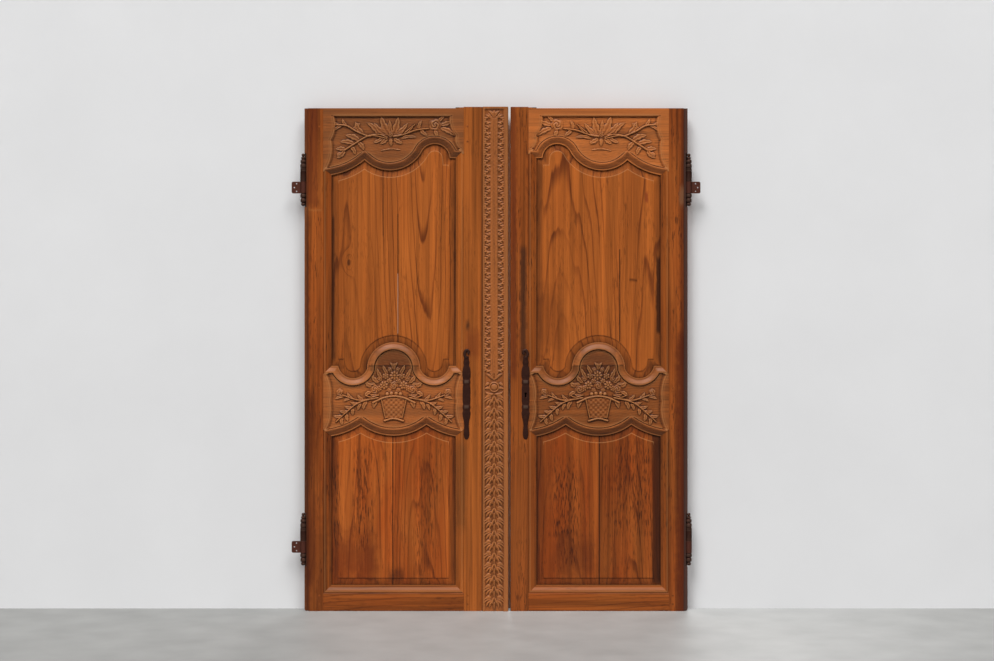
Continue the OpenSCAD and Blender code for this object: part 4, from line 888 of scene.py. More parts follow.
def year_rings(add, place, straight, spots, pith, lean, ring_mm, knots):
    """Phase of the year rings around the tree's leaning heart, and the dark eyes of the knots they pass."""
    bend, waver, knot_tall, knot_push = 35 * MM, 0.7, 2.2, 2.4
    sway = add("VectorMath", {0: spots["sway"], 1: (0.5, 0.5, 0.5)}, operation="SUBTRACT")
    bent = add("VectorMath", {0: sway, 1: (bend, bend, 0.0), 2: straight}, operation="MULTIPLY_ADD")
    trunk = add("Mapping", {"Vector": bent, "Location": (-pith[0], -pith[1], 0),
                            "Rotation": (lean[1], lean[0], 0)})
    flat = add("VectorMath", {0: trunk, 1: (1, 1, 0)}, operation="MULTIPLY")
    radius = add("VectorMath", {0: flat}, out="Value", operation="LENGTH")
    rings = add("Math", {0: radius, 1: 1 / (ring_mm * MM)}, operation="MULTIPLY")
    rings = add("Math", {0: spots["waver"], 1: waver, 2: rings}, operation="MULTIPLY_ADD")
    eyes = []
    for x, z, size in knots:
        tall = knot_tall * size
        near = add("Mapping", {"Vector": place, "Location": (-x / size, 0, -z / tall),
                               "Scale": (1 / size, 0, 1 / tall)})
        away = add("VectorMath", {0: near, 1: near}, out="Value", operation="DOT_PRODUCT")
        away = add("Math", {0: away, 1: -1.0}, operation="MULTIPLY")
        knot = add("Math", {0: away}, operation="EXPONENT")
        rings = add("Math", {0: knot, 1: knot_push, 2: rings}, operation="MULTIPLY_ADD")
        eyes.append(add("MapRange", {"Value": knot, "From Min": 0.82, "From Max": 0.97, "To Max": 0.7}))
    return add("Math", {0: rings}, operation="FRACT"), eyes


def late_wood(add, phase, shown, figure):
    """Share of dark late wood: it comes slowly in each ring, ends at once, and shows in places."""
    late = add("MapRange", {"Value": phase, "From Min": 0.71, "From Max": 0.93},
               interpolation_type="SMOOTHSTEP")
    ended = add("MapRange", {"Value": phase, "From Min": 0.95, "From Max": 1.0, "To Min": 1.0,
                             "To Max": 0.0})
    seen = add("MapRange", {"Value": shown, "From Min": 0.38, "From Max": 0.60, "To Min": 0.25 * figure,
                            "To Max": figure})
    for share in (ended, seen):
        late = add("Math", {0: late, 1: share}, operation="MULTIPLY")
    return late


def flecks(add, place, spots, dirt, pitted):
    """Shares of dark flecks: loose ones in patches, and close ones in boxes with a blur and an amount."""
    loose = add("MapRange", {"Value": spots["fleck"], "From Min": 0.55, "From Max": 0.66, "To Max": dirt})
    patch = add("MapRange", {"Value": spots["patch"], "From Min": 0.45, "From Max": 0.60})
    shares = [add("Math", {0: loose, 1: patch}, operation="MULTIPLY")]
    close = add("MapRange", {"Value": spots["fleck"], "From Min": 0.48, "From Max": 0.60})
    for low, high, blur, amount in pitted:
        within = stained(add, place, low, high, blur, amount)
        shares.append(add("Math", {0: close, 1: within}, operation="MULTIPLY"))
    return shares


def stained(add, place, low, high, blur, amount):
    """Share of a stain on the front in a box of x and z with soft, ragged edges, in metres."""
    ragged = add("TexNoise", {"Vector": place, "Scale": 1 / (26 * MM), "Detail": 3.0}, out="Color")
    ragged = add("VectorMath", {0: ragged, 1: (0.5, 0.5, 0.5)}, operation="SUBTRACT")
    point = add("VectorMath", {0: ragged, 1: (blur, 0, blur * 3), 2: place}, operation="MULTIPLY_ADD")
    axes = add("SeparateXYZ", {"Vector": point}).node.outputs
    share = add("MapRange", {"Value": axes["Y"], "From Min": -6 * MM, "From Max": -3 * MM,
                             "To Min": amount, "To Max": 0.0})
    for axis, k, soft in (("X", 0, blur), ("Z", 1, blur * 3)):
        middle, half = (low[k] + high[k]) / 2, (high[k] - low[k]) / 2
        away = add("Math", {0: axes[axis], 1: middle}, operation="SUBTRACT")
        away = add("Math", {0: away}, operation="ABSOLUTE")
        within = add("MapRange", {"Value": away, "From Min": half - soft / 2, "From Max": half + soft / 2,
                                  "To Min": 1.0, "To Max": 0.0}, interpolation_type="SMOOTHSTEP")
        share = add("Math", {0: within, 1: share}, operation="MULTIPLY")
    return share


# Waxed old pine, sawn and planed by hand: warm brown with soft lengthwise streaks, thin dark lines of late
# wood that run out in pointed arches and bend around knots, dark flecks, grime with painted shade in the
# recesses and rubbed ridges with painted highlights under a dull wax. A stain is a box from low to high, its
# blur, its colour and its amount.
def pine(name, colours, along="Z", pith=(0.0, 0.05), lean=(0.0, 0.0), ring_mm=11.0, figure=0.5, tone=1.0,
         red=0.35, dirt=0.35, dust=0.0, streak=1.0, stain=(), knots=(), pitted=()):
    made, add, surface = new_material(name)
    place = add("TexCoord", out="Object")
    turn = (0, math.radians(90), 0) if along == "X" else (0, 0, 0)
    straight = add("Mapping", {"Vector": place, "Rotation": turn})
    shift = (37 * pith[0], 11 * pith[1], 3 * ring_mm)
    spots = pine_spots(add, add("Mapping", {"Vector": place, "Rotation": turn, "Location": shift}))
    phase, eyes = year_rings(add, place, straight, spots, pith, lean, ring_mm, knots)
    late = late_wood(add, phase, spots["shown"], figure)
    cloud = add("MapRange", {"Value": spots["cloud"], "From Min": 0.32, "From Max": 0.66,
                             "To Min": 0.3 * red, "To Max": red})
    skin = (*colours.early[:], 1)
    for factor, tint in ((cloud, colours.red[:]), (late, colours.late[:])):
        skin = add("Mix", {"Factor": factor, "A": skin, "B": (*tint, 1)}, out="Result", data_type="RGBA")
    dark_streak, pale_streak = tone * (0.47 - 0.30 * streak), tone * (0.47 + 0.26 * streak)
    shade = add("MapRange", {"Value": spots["streak"], "From Min": 0.30, "From Max": 0.70,
                             "To Min": dark_streak, "To Max": pale_streak})
    for key, share in (("fibre", 0.34), ("line", 0.72)):
        shade = add("Math", {0: spots[key], 1: share * tone, 2: shade}, operation="MULTIPLY_ADD")
    skin = add("VectorMath", {0: skin, "Scale": shade}, operation="SCALE")
    # Patina above zero takes the grime colour, partly real grime and partly painted shade; below zero it
    # takes the worn colour, partly real wear and partly painted highlight.
    patina = add("Attribute", out="Fac", attribute_name="patina")
    rubbed_and_highlit = add("Math", {0: patina, 1: -0.45}, operation="MULTIPLY", use_clamp=True)
    uneven = add("MapRange", {"Value": spots["uneven"], "From Min": 0.3, "From Max": 0.7, "To Min": 0.55,
                              "To Max": 1.0})
    grime_and_shade_share = add("Math", {0: patina, 1: uneven}, operation="MULTIPLY", use_clamp=True)
    dark, pits = colours.grime[:], flecks(add, place, spots, dirt, pitted)
    layers = [(eye, dark) for eye in eyes] + [(dust, colours.dust[:])] + [(pit, dark) for pit in pits]
    for low, high, blur, code, amount in stain:
        layers.append((stained(add, place, low, high, blur, amount), linear(code)))
    layers += [(rubbed_and_highlit, colours.worn[:]), (grime_and_shade_share, dark)]
    for factor, tint in layers:
        skin = add("Mix", {"Factor": factor, "A": skin, "B": (*tint, 1)}, out="Result", data_type="RGBA")
    rough = add("MapRange", {"Value": spots["fibre"], "To Min": 0.34, "To Max": 0.50})
    height = add("Math", {0: late, 1: -0.6, 2: spots["fibre"]}, operation="MULTIPLY_ADD")
    bump = add("Bump", {"Height": height, "Strength": 0.3, "Distance": 0.6 * MM})
    surface.inputs["Specular IOR Level"].default_value = 0.20
    for socket, value in (("Base Color", skin), ("Roughness", rough), ("Normal", bump)):
        made.node_tree.links.new(value, surface.inputs[socket])
    return made


# Forged iron, blackened by age: dull and dark brown with rusty patches, rubbed bands with painted glints and
# fine pits.
def old_iron(name, base, colours, rust_share=0.25):
    made, add, surface = new_material(name)
    place = add("TexCoord", out="Object")
    patch = add("TexNoise", {"Vector": place, "Scale": 1 / (14 * MM), "Detail": 4.0}, out="Fac")
    rusty = add("MapRange", {"Value": patch, "From Min": 0.45, "From Max": 0.70, "To Max": rust_share})
    patina = add("Attribute", out="Fac", attribute_name="patina")
    # Below zero the patina takes the rubbed colour: rubbed iron with painted glints.
    rubbed_and_highlit = add("Math", {0: patina, 1: -0.75}, operation="MULTIPLY", use_clamp=True)
    skin = (*base[:], 1)
    for factor, tint in ((rusty, colours.iron_rust[:]), (rubbed_and_highlit, colours.iron_rub[:])):
        skin = add("Mix", {"Factor": factor, "A": skin, "B": (*tint, 1)}, out="Result", data_type="RGBA")
    pits = add("TexNoise", {"Vector": place, "Scale": 1 / (2.4 * MM), "Detail": 3.0}, out="Fac")
    rough = add("MapRange", {"Value": pits, "To Min": 0.42, "To Max": 0.70})
    bump = add("Bump", {"Height": pits, "Strength": 0.4, "Distance": 0.5 * MM})
    surface.inputs["Metallic"].default_value = 0.75
    for socket, value in (("Base Color", skin), ("Roughness", rough), ("Normal", bump)):
        made.node_tree.links.new(value, surface.inputs[socket])
    return made


# Painted plaster and ground concrete: one pale tint with soft clouds and little shine, and, with a painted
# top light, a little brighter higher up.
def pale_surface(name, tint, roughness, cloud_mm, contrast, lift=0.0):
    made, add, surface = new_material(name)
    place = add("TexCoord", out="Object")
    cloud = add("TexNoise", {"Vector": place, "Scale": 1 / (cloud_mm * MM), "Detail": 6.0}, out="Fac")
    low, high = [c * (1 - contrast) for c in tint], [min(1, c * (1 + contrast)) for c in tint]
    skin = add("Mix", {"Factor": cloud, "A": (*low, 1), "B": (*high, 1)}, out="Result", data_type="RGBA")
    height = add("SeparateXYZ", {"Vector": place}, out="Z")
    light = add("MapRange", {"Value": height, "From Min": 0.2, "From Max": 2.3, "To Min": 1 - 0.4 * lift,
                             "To Max": 1 + 0.6 * lift})
    skin = add("VectorMath", {0: skin, "Scale": light}, operation="SCALE")
    made.node_tree.links.new(skin, surface.inputs["Base Color"])
    surface.inputs["Roughness"].default_value = roughness
    return made


def coat(names, material):
    """Give CAD nodes that are shown as they are their material."""
    for name in names:
        NODES[name].data.materials.clear()
        NODES[name].data.materials.append(material)


def keyhole(u, z):
    """Outline of a keyhole: a round eye over a slot."""
    eye, slot, foot = 4.5, 2.4, 14.0
    corner = math.asin(slot / eye)
    around = np.linspace(corner - math.pi / 2, 1.5 * math.pi - corner, 18)
    rim = [(u + eye * math.cos(a), z + eye * math.sin(a)) for a in around]
    return [(u - slot, z - foot), (u + slot, z - foot)] + rim


def stile_section(plan, w, rebate):
    """Section of a stile in u and y, its panel-side edge at u = w, with eased corners and a groove."""
    face_w, back_y, r = w - plan.moulding_w, plan.leaf_t, 1.4
    if rebate:
        outer = [(plan.rebate_w + r, 0), (plan.rebate_w, r), (plan.rebate_w, plan.rebate_d - 0.6),
                 (plan.rebate_w - 0.6, plan.rebate_d), (r, plan.rebate_d), (0, plan.rebate_d + r)]
    else:
        outer = [(3.2, 0), (1.2, 0.7), (0.3, 2.0), (0, 3.6)]
    back = [(0, back_y - 2), (0.6, back_y - 0.6), (2, back_y), (w - 1, back_y), (w, back_y - 1)]
    groove = [(w, plan.tongue_back), (w - plan.groove_d, plan.tongue_back),
              (w - plan.groove_d, plan.groove_y), (w, plan.groove_y), (face_w, plan.groove_y)]
    face = [(face_w, 1.6), (face_w - 0.5, 0.45), (face_w - 1.6, 0)]
    return outer + back + groove + face


class DOOR_OT_stiles(bpy.types.Operator):
    """Hinge stiles and meeting stiles with their mouldings"""
    bl_idname = "carved_door.stiles"
    bl_label = "Stiles"

    hinge_woods = {"left": {"pith": (-0.62, 0.16), "tone": 0.80},
                   "right": {"pith": (0.55, 0.16), "tone": 0.73}}
    hinge_stains = {
        "left": [((-0.730, -0.1), (-0.690, 2.0), 0.004, "5E3E28", 0.60),
                 ((-0.720, -0.1), (-0.610, 0.33), 0.060, "3A1404", 0.40),
                 ((-0.720, 0.10), (-0.664, 0.80), 0.020, "3E1404", 0.45),
                 ((-0.700, 1.485), (-0.655, 1.90), 0.010, "5A200A", 0.55),
                 ((-0.700, -0.1), (-0.684, 1.47), 0.016, "4A1C08", 0.55),
                 ((-0.690, 1.470), (-0.640, 1.476), 0.003, "B87A44", 0.25)],
        "right": [((0.664, -0.1), (0.720, 1.02), 0.030, "4E1C08", 0.80),
                  ((0.676, 0.9), (0.720, 1.90), 0.016, "4E1C08", 0.55),
                  ((0.674, 1.49), (0.690, 1.56), 0.012, "8E6A4C", 0.40),
                  ((0.690, -0.1), (0.730, 2.0), 0.004, "473530", 0.80)],
    }
    meeting_woods = {"left": {"pith": (-0.30, 0.14), "tone": 0.90, "red": 0.1, "dirt": 0.3},
                     "right": {"pith": (0.33, 0.14), "tone": 0.89, "red": 0.4, "dirt": 0.7}}
    meeting_stains = {
        "left": [((-0.150, 0.30), (-0.112, 0.62), 0.020, "4A3018", 0.35),
                 ((-0.112, 1.035), (-0.098, 1.065), 0.010, "2A1A10", 0.75),
                 ((-0.112, 0.93), (-0.060, 1.03), 0.018, "6A2810", 0.40)],
        "right": [((0.088, 0.92), (0.112, 1.34), 0.014, "2A1A12", 0.65),
                  ((0.052, 0.85), (0.075, 1.86), 0.012, "5A220C", 0.60),
                  ((0.116, 1.30), (0.128, 1.80), 0.010, "4A1E0C", 0.50),
                  ((0.050, -0.1), (0.150, 0.60), 0.040, "6A3414", 0.35)],
    }

    def execute(self, context):
        plan, colours = plan_of(context), colours_of(context)
        for side in SIDES:
            self.hinge_stile(plan, colours, side)
            self.meeting_stile(plan, colours, side)
        return {"FINISHED"}

    def upright(self, plan, w, top, rebate):
        """Stile of a width, from its foot to its top, both ends eased back by use."""
        section = stile_section(plan, w, rebate)
        return loft([[(u, y, z) for u, y in section] for z in (WORN_END, top - WORN_END)])

    def mouldings(self, plan, w, corner, tip):
        """Mouldings beside the lower and the upper panel; corner and tip are the upper one's mitre."""
        # No facing light on the upright mouldings; the fillet's 0.7 is a painted shade line beside the
        # panel.
        section = plain_moulding(plan, 0.0, 0.7)
        lower = moved(plan.mid_lower_edge, plan.moulding_w)[0][1]
        runs = [(plan.bottom_rail_h, plan.bottom_rail_h - plan.moulding_w, plan.mid_lower_z, lower),
                (plan.mid_shoulder_z, plan.mid_shoulder_z - plan.moulding_w, corner, tip)]
        shells = []
        for foot, foot_tip, head, head_tip in runs:
            rings = []
            for start, end in ((foot, foot_tip), (head, head_tip)):
                rise = end - start
                rings.append([(w - s, y, start + rise * s / plan.moulding_w) for s, y, _ in section])
            shells.append(loft(rings, np.array([[p for _, _, p in section]])))
        return shells

    def hinge_stile(self, plan, colours, side):
        """Stile with a rebate, hollows for the hinge barrels and a rounded foot corner."""
        node = side + "_hinge_stile"
        body = shaped(node, [self.upright(plan, plan.hinge_stile_w, plan.leaf_h, True)], side)
        hollow_r, room, past, grime = 12, 1, 5, 0.6
        cutters = []
        for level in LEVELS[::-1]:
            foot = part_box("%s_%s_hinge_pin" % (level, side))[0].z / MM - room
            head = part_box("%s_%s_hinge_barrel" % (level, side))[1].z / MM + room
            hollow = turned([(hollow_r, foot, grime), (hollow_r, head, grime)], 32)
            cutters.append(placed(hollow, plan.hinge_axis))
        r, out = plan.foot_corner_r, 3
        rounding = arc((r, 0.0), (0.0, r), r * (1 - math.sqrt(0.5)), 10)
        corner = np.vstack([[(-out, -out), (r, -out)], rounding, [(-out, r)]])
        cutters.append(prism(corner, -past, plan.leaf_t + past))
        body = cut_by(body, cutters, side)
        tip = moved(plan.top_edge, plan.moulding_w)[0][1]
        corner_z = plan.leaf_h - plan.top_corner_drop
        mould = shaped(node, self.mouldings(plan, plan.hinge_stile_w, corner_z, tip), side)
        body = joined(body, mould)
        tidy(body)
        skin = pine("Waxed pine, %s hinge stile" % side, colours, lean=(0.012, 0.02), ring_mm=9, figure=0.4,
                    red=0.5, dirt=0.7, streak=2.3, stain=self.hinge_stains[side], **self.hinge_woods[side])
        piece(node, body, side + "_leaf", skin)

    def meeting_stile(self, plan, colours, side):
        """Stile with a horn at its top, and the lock's keyhole through the right one."""
        node, w, past = side + "_meeting_stile", plan.meeting_stile_w, 5
        corner = plan.leaf_h - plan.top_ear_drop
        shells = [self.upright(plan, w, plan.horn_z, False)]
        shells += self.mouldings(plan, w, corner, corner + plan.moulding_w)
        flipped = [((plan.leaf_w, 0, 0) + verts * (-1, 1, 1), faces, shade)
                   for verts, faces, shade in shells]
        body = shaped(node, flipped[:1], side)
        if side == "right":
            hole = prism(keyhole(plan.key_u, plan.escutcheon_z), -past, plan.leaf_t + past)
            body = cut_by(body, [hole], side)
        body = joined(body, shaped(node, flipped[1:], side))
        tidy(body)
        skin = pine("Waxed pine, %s meeting stile" % side, colours, lean=(-0.010, 0.015), ring_mm=8,
                    figure=0.4, streak=1.4, stain=self.meeting_stains[side], **self.meeting_woods[side])
        piece(node, body, side + "_leaf", skin)


class DOOR_OT_top_rails(bpy.types.Operator):
    """Carved top rails"""
    bl_idname = "carved_door.top_rails"
    bl_label = "Top rails"

    woods = {"left": {"pith": (-1.76, 0.10), "tone": 0.70}, "right": {"pith": (-1.70, 0.10), "tone": 1.38}}

    def execute(self, context):
        plan, colours = plan_of(context), colours_of(context)
        shells = self.shells(plan)
        for side in SIDES:
            node = side + "_top_rail"
            skin = pine("Waxed pine, %s top rail" % side, colours, along="X", lean=(0.01, 0.02), ring_mm=9,
                        figure=0.35, red=0.15, dust=0.13, **self.woods[side])
            piece(node, shaped(node, shells, side), side + "_leaf", skin)
        return {"FINISHED"}

    def shells(self, plan):
        """Carved front, moulding and back."""
        edge, head = plan.top_edge, plan.leaf_h - WORN_END
        relief = Relief(spaced(plan.shoulder_l, plan.shoulder_r, plan.relief_step),
                        spaced(np.vstack(edge)[:, 1].min(), head, plan.relief_step))
        top_carving(plan, relief)
        outer = moved(edge, plan.moulding_w)
        band_z = plan.leaf_h - plan.top_band_h
        left = bracket((plan.sight_l + 2, band_z), (plan.sight_l - 8, plan.leaf_h - 116),
                       outer[0] + (8, 4), 10)
        right = bracket((plan.sight_r - 14, band_z), (plan.sight_r + 8, plan.leaf_h - 100),
                        outer[-1] + (-8, 6), -9)
        ground = np.vstack([left, moved(edge, plan.moulding_w - 6)[1:-1], right[::-1]])
        borders = [(line(left[0], right[0]), 3.5), (left, 13), (right, 13)]
        depth, under = sunk_depth(plan, relief, ground, borders, [edge])
        reach = 14
        hidden = moved(edge, reach)
        above = np.interp(relief.u, *hidden[np.argsort(hidden[:, 0])].T) < relief.z
        keep = solid_cells(above & (under > reach - 1))
        keep[:, 0] = keep[:, 1]
        plate = relief_plate(relief.us, relief.zs, depth, keep, plan.groove_y - 0.5)
        outline = np.vstack([np.vstack(edge), [(plan.sight_r, head), (plan.sight_l, head)]])
        back = prism(outline, plan.groove_y - 1.2, plan.leaf_t)
        # The moulding faces down, so it gets painted shade.
        return [plate, swept(edge, carved_moulding(plan, 0.3)), back]


class DOOR_OT_middle_rails(bpy.types.Operator):
    """Carved middle rails with their glued-on crests"""
    bl_idname = "carved_door.middle_rails"
    bl_label = "Middle rails"

    woods = {"left": {"pith": (-0.80, 0.12), "tone": 0.94, "dust": 0.12},
             "right": {"pith": (-0.74, 0.12), "tone": 0.66, "dust": 0.06}}
    stains = {"left": ((-0.46, 0.865), (-0.29, 0.910), 0.016, "2A1008", 0.60),
              "right": ((0.28, 0.850), (0.45, 0.905), 0.030, "30140A", 0.65)}

    def execute(self, context):
        plan, colours = plan_of(context), colours_of(context)
        shells = self.shells(plan)
        glue_rise = 0.4
        seam_z = (plan.mid_shoulder_z + glue_rise) * MM
        for side in SIDES:
            whole = shaped(side + "_rail", shells, side)
            parts = (("middle_rail", False, self.rail_wood), ("rail_crest", True, self.crest_wood))
            for name, above, wood in parts:
                part = half_of(whole, 2, seam_z + (HALF_SLIT if above else -HALF_SLIT) * MM, above)
                tidy(part)
                node = side + "_" + name
                piece(node, part, side + "_leaf", wood(plan, colours, side))
        return {"FINISHED"}

    def seam(self, plan, side):
        """Middle of a leaf's crest, and the dark glue line under it."""
        x = math.copysign(STILE_LOW.x + plan.mid_u * MM, -1 if side == "left" else 1)
        return x, ((x - 0.092, 0.8985), (x + 0.092, 0.9035), 0.002, "1E0A06", 0.80)

    def rail_wood(self, plan, colours, side):
        """Wood of a middle rail, with old dirt around its bouquet."""
        _, glue = self.seam(plan, side)
        return pine("Waxed pine, %s middle rail" % side, colours, along="X", lean=(0.012, 0.02), ring_mm=10,
                    figure=0.35, red=0.2, stain=[self.stains[side], glue], **self.woods[side])

    def crest_wood(self, plan, colours, side):
        """Wood of a crest, with painted shade under its arch."""
        x, glue = self.seam(plan, side)
        # A dark patch under the arch: painted shade.
        hollow = ((x - 0.062, 0.88), (x + 0.062, 0.955), 0.014, "3C1C0E", 0.50)
        return pine("Waxed pine, %s crest" % side, colours, along="X", pith=(-0.96, 0.08), lean=(0.0, 0.03),
                    ring_mm=9, figure=0.3, tone=0.85, dust=0.12, stain=[hollow, glue])

    def shells(self, plan):
        """Carved front, back and both mouldings, for rail and crest in one."""
        upper, lower = plan.mid_upper_edge, plan.mid_lower_edge
        upper_path, lower_path = np.vstack(upper), np.vstack(lower)
        relief = Relief(spaced(plan.shoulder_l, plan.shoulder_r, plan.relief_step),
                        spaced(lower_path[:, 1].min(), upper_path[:, 1].max(), plan.relief_step))
        middle_carving(plan, relief)
        top_tip, low_tip = moved(upper, plan.moulding_w)[-1], moved(lower, plan.moulding_w)[0]
        cusp = (plan.sight_l - 10, (plan.mid_shoulder_z + plan.mid_lower_z) / 2 - 2)
        left = bracket(top_tip + (6, -4), cusp, low_tip + (6, 4), 8)
        right = left * (-1, 1) + (2 * plan.mid_u, 0)
        under_w = plan.moulding_w - 6
        ground = np.vstack([left, moved(lower, under_w)[1:-1], right[::-1], moved(upper, under_w)[1:-1]])
        depth, under = sunk_depth(plan, relief, ground, [(left, 14), (right, 14)], [upper, lower])
        reach = 14
        far_l, far_r = plan.shoulder_l - 1, plan.shoulder_r + 1
        low_z, top_z = low_tip[1], top_tip[1]
        outline = np.vstack([[(far_l, low_z)], moved(lower, reach), [(far_r, low_z), (far_r, top_z)],
                             moved(upper, reach), [(far_l, top_z)]])
        solid = inside(outline, relief.u, relief.z) & (under > reach - 1)
        keep = largest(solid_cells(solid))
        plate = relief_plate(relief.us, relief.zs, depth, keep, plan.groove_y - 0.5)
        back = prism(np.vstack([lower_path, upper_path]), plan.groove_y - 1.2, plan.leaf_t)
        # Painted highlight on the upper moulding, which faces up, and painted shade on the lower one, which
        # faces down.
        worn = ((upper, -0.2), (lower, 0.3))
        return [plate, back] + [swept(edge, carved_moulding(plan, wear)) for edge, wear in worn]


class DOOR_OT_bottom_rails(bpy.types.Operator):
    """Plain bottom rails with their mouldings"""
    bl_idname = "carved_door.bottom_rails"
    bl_label = "Bottom rails"

    woods = {"left": {"pith": (-0.02, 0.07), "tone": 0.68}, "right": {"pith": (-0.06, 0.07), "tone": 0.74}}

    def execute(self, context):
        plan, colours = plan_of(context), colours_of(context)
        top = plan.bottom_rail_h
        face_top, back_y = top - plan.moulding_w, plan.groove_y - 0.2
        section = [(0, 1.2), (0.9, 0.3), (2.4, 0), (face_top - 1.6, 0), (face_top - 0.5, 0.45),
                   (face_top, 1.6), (face_top, back_y), (0, back_y)]
        ends = (plan.shoulder_l, plan.shoulder_r)
        face = loft([[(u, y, z + WORN_END) for z, y in section] for u in ends])
        outline = [(plan.sight_l, WORN_END), (plan.sight_r, WORN_END),
                   (plan.sight_r, top), (plan.sight_l, top)]
        back = prism(outline, plan.groove_y - 1, plan.leaf_t)
        # The moulding faces up and gets a painted highlight.
        mould = swept(plan.bottom_edge, plain_moulding(plan, -0.25))
        for side in SIDES:
            node = side + "_bottom_rail"
            skin = pine("Waxed pine, %s bottom rail" % side, colours, along="X", lean=(0.008, 0.03),
                        ring_mm=10, figure=0.6, red=0.4, streak=1.3, **self.woods[side])
            piece(node, shaped(node, [face, back, mould], side), side + "_leaf", skin)
        return {"FINISHED"}


class DOOR_OT_boards(bpy.types.Operator):
    """Fielded panels, each of two boards with a seam between them"""
    bl_idname = "carved_door.boards"
    bl_label = "Panel boards"

    # Where the tree's heart lies in metres, how it leans, width of its rings in millimetres, how strongly
    # they show, and the board's tone.
    figures = {
        ("left", "upper", "outer"): ((-0.535, 0.082), (0.004, 0.030), 13, 0.75, 1.02),
        ("left", "upper", "inner"): ((-0.245, 0.105), (0.010, -0.060), 15, 0.85, 1.10),
        ("right", "upper", "outer"): ((0.565, 0.075), (-0.006, 0.026), 12, 0.75, 1.05),
        ("right", "upper", "inner"): ((0.240, 0.095), (0.004, 0.056), 14, 0.85, 1.10),
        ("left", "lower", "outer"): ((-0.480, 0.140), (0.006, 0.020), 9, 0.70, 1.09),
        ("left", "lower", "inner"): ((-0.262, 0.085), (-0.003, 0.022), 10, 0.85, 0.99),
        ("right", "lower", "outer"): ((0.490, 0.090), (0.004, 0.022), 9, 0.85, 0.77),
        ("right", "lower", "inner"): ((0.250, 0.150), (-0.004, 0.020), 9, 0.75, 0.84),
    }
    # Seams, cracks, scuffs and dark corners.
    stains = {
        ("left", "upper"): [((-0.3628, 0.96), (-0.3592, 1.46), 0.0016, "1C0C05", 0.80),
                            ((-0.417, 1.38), (-0.414, 1.63), 0.0030, "2A1208", 0.70),
                            ((-0.3625, 1.02), (-0.3605, 1.24), 0.0016, "CBA088", 0.75),
                            ((-0.610, 0.93), (-0.594, 1.45), 0.008, "2A1006", 0.55)],
        ("right", "upper"): [((0.4532, 0.99), (0.4568, 1.33), 0.0016, "1C0C05", 0.85),
                             ((0.490, 1.212), (0.520, 1.220), 0.004, "3A1808", 0.75),
                             ((0.549, 1.50), (0.560, 1.54), 0.006, "7A3018", 0.70),
                             ((0.590, 1.02), (0.612, 1.30), 0.008, "200C05", 0.80),
                             ((0.150, 0.94), (0.250, 1.18), 0.040, "5A2A0C", 0.40)],
        ("left", "lower"): [((-0.3818, 0.0), (-0.3782, 0.70), 0.0016, "1C0C05", 0.90),
                            ((-0.600, 0.11), (-0.440, 0.28), 0.050, "5A1E08", 0.55),
                            ((-0.400, 0.11), (-0.340, 0.15), 0.020, "35140A", 0.60)],
        ("right", "lower"): [((0.3782, 0.0), (0.3818, 0.70), 0.0016, "1C0C05", 0.90),
                             ((0.574, 0.10), (0.612, 0.66), 0.008, "2E1006", 0.75),
                             ((0.220, 0.13), (0.360, 0.27), 0.040, "4A1A08", 0.45)],
    }
    # Boxes of close flecks.
    pitted = {
        ("left", "lower"): [((-0.525, 0.22), (-0.465, 0.60), 0.030, 0.60),
                            ((-0.605, 0.24), (-0.575, 0.55), 0.020, 0.60),
                            ((-0.300, 0.12), (-0.230, 0.57), 0.030, 0.40)],
        ("right", "lower"): [((0.210, 0.26), (0.305, 0.54), 0.030, 0.75),
                             ((0.235, 0.165), (0.300, 0.24), 0.020, 0.70),
                             ((0.440, 0.30), (0.570, 0.63), 0.030, 0.60)],
    }
    knots = {("left", "upper"): [(-0.542, 1.281, 0.016)]}
    finishes = {"upper": {"red": 0.2, "dirt": 0.4, "streak": 1.0},
                "lower": {"red": 0.70, "dirt": 0.5, "streak": 1.3}}

    def execute(self, context):
        plan, colours = plan_of(context), colours_of(context)
        panels = {"upper": (plan.top_edge, plan.mid_upper_edge),
                  "lower": (plan.mid_lower_edge, plan.bottom_edge)}
        smooth_angle = 25
        for level, edges in panels.items():
            shell = self.panel(plan, *edges)
            for side in SIDES:
                whole = shaped(side + "_panel", [shell], side, smooth_angle)
                outer_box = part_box("%s_%s_board_outer" % (side, level))
                seam = outer_box[1].x if side == "left" else outer_box[0].x
                for half in ("outer", "inner"):
                    above = (half == "inner") == (side == "left")
                    part = half_of(whole, 0, seam + (HALF_SLIT if above else -HALF_SLIT) * MM, above)
                    tidy(part, smooth_angle)
                    node = "%s_%s_board_%s" % (side, level, half)
                    skin = self.wood(colours, side, level, half)
                    piece(node, part, side + "_leaf", skin)
        return {"FINISHED"}

    def panel(self, plan, head_edge, foot_edge):
        """Closed panel from its tongue over the slope to its field, dark at its rim and in its corners with
        grime and painted shade, with painted shade on its side slopes and along its field's foot and a
        painted highlight along its field's head.
        """
        front, back = plan.groove_y + 0.1, plan.tongue_back - 0.1
        tongue, margin, fade, slope_shade = 11, plan.field_margin, 14, 0.20
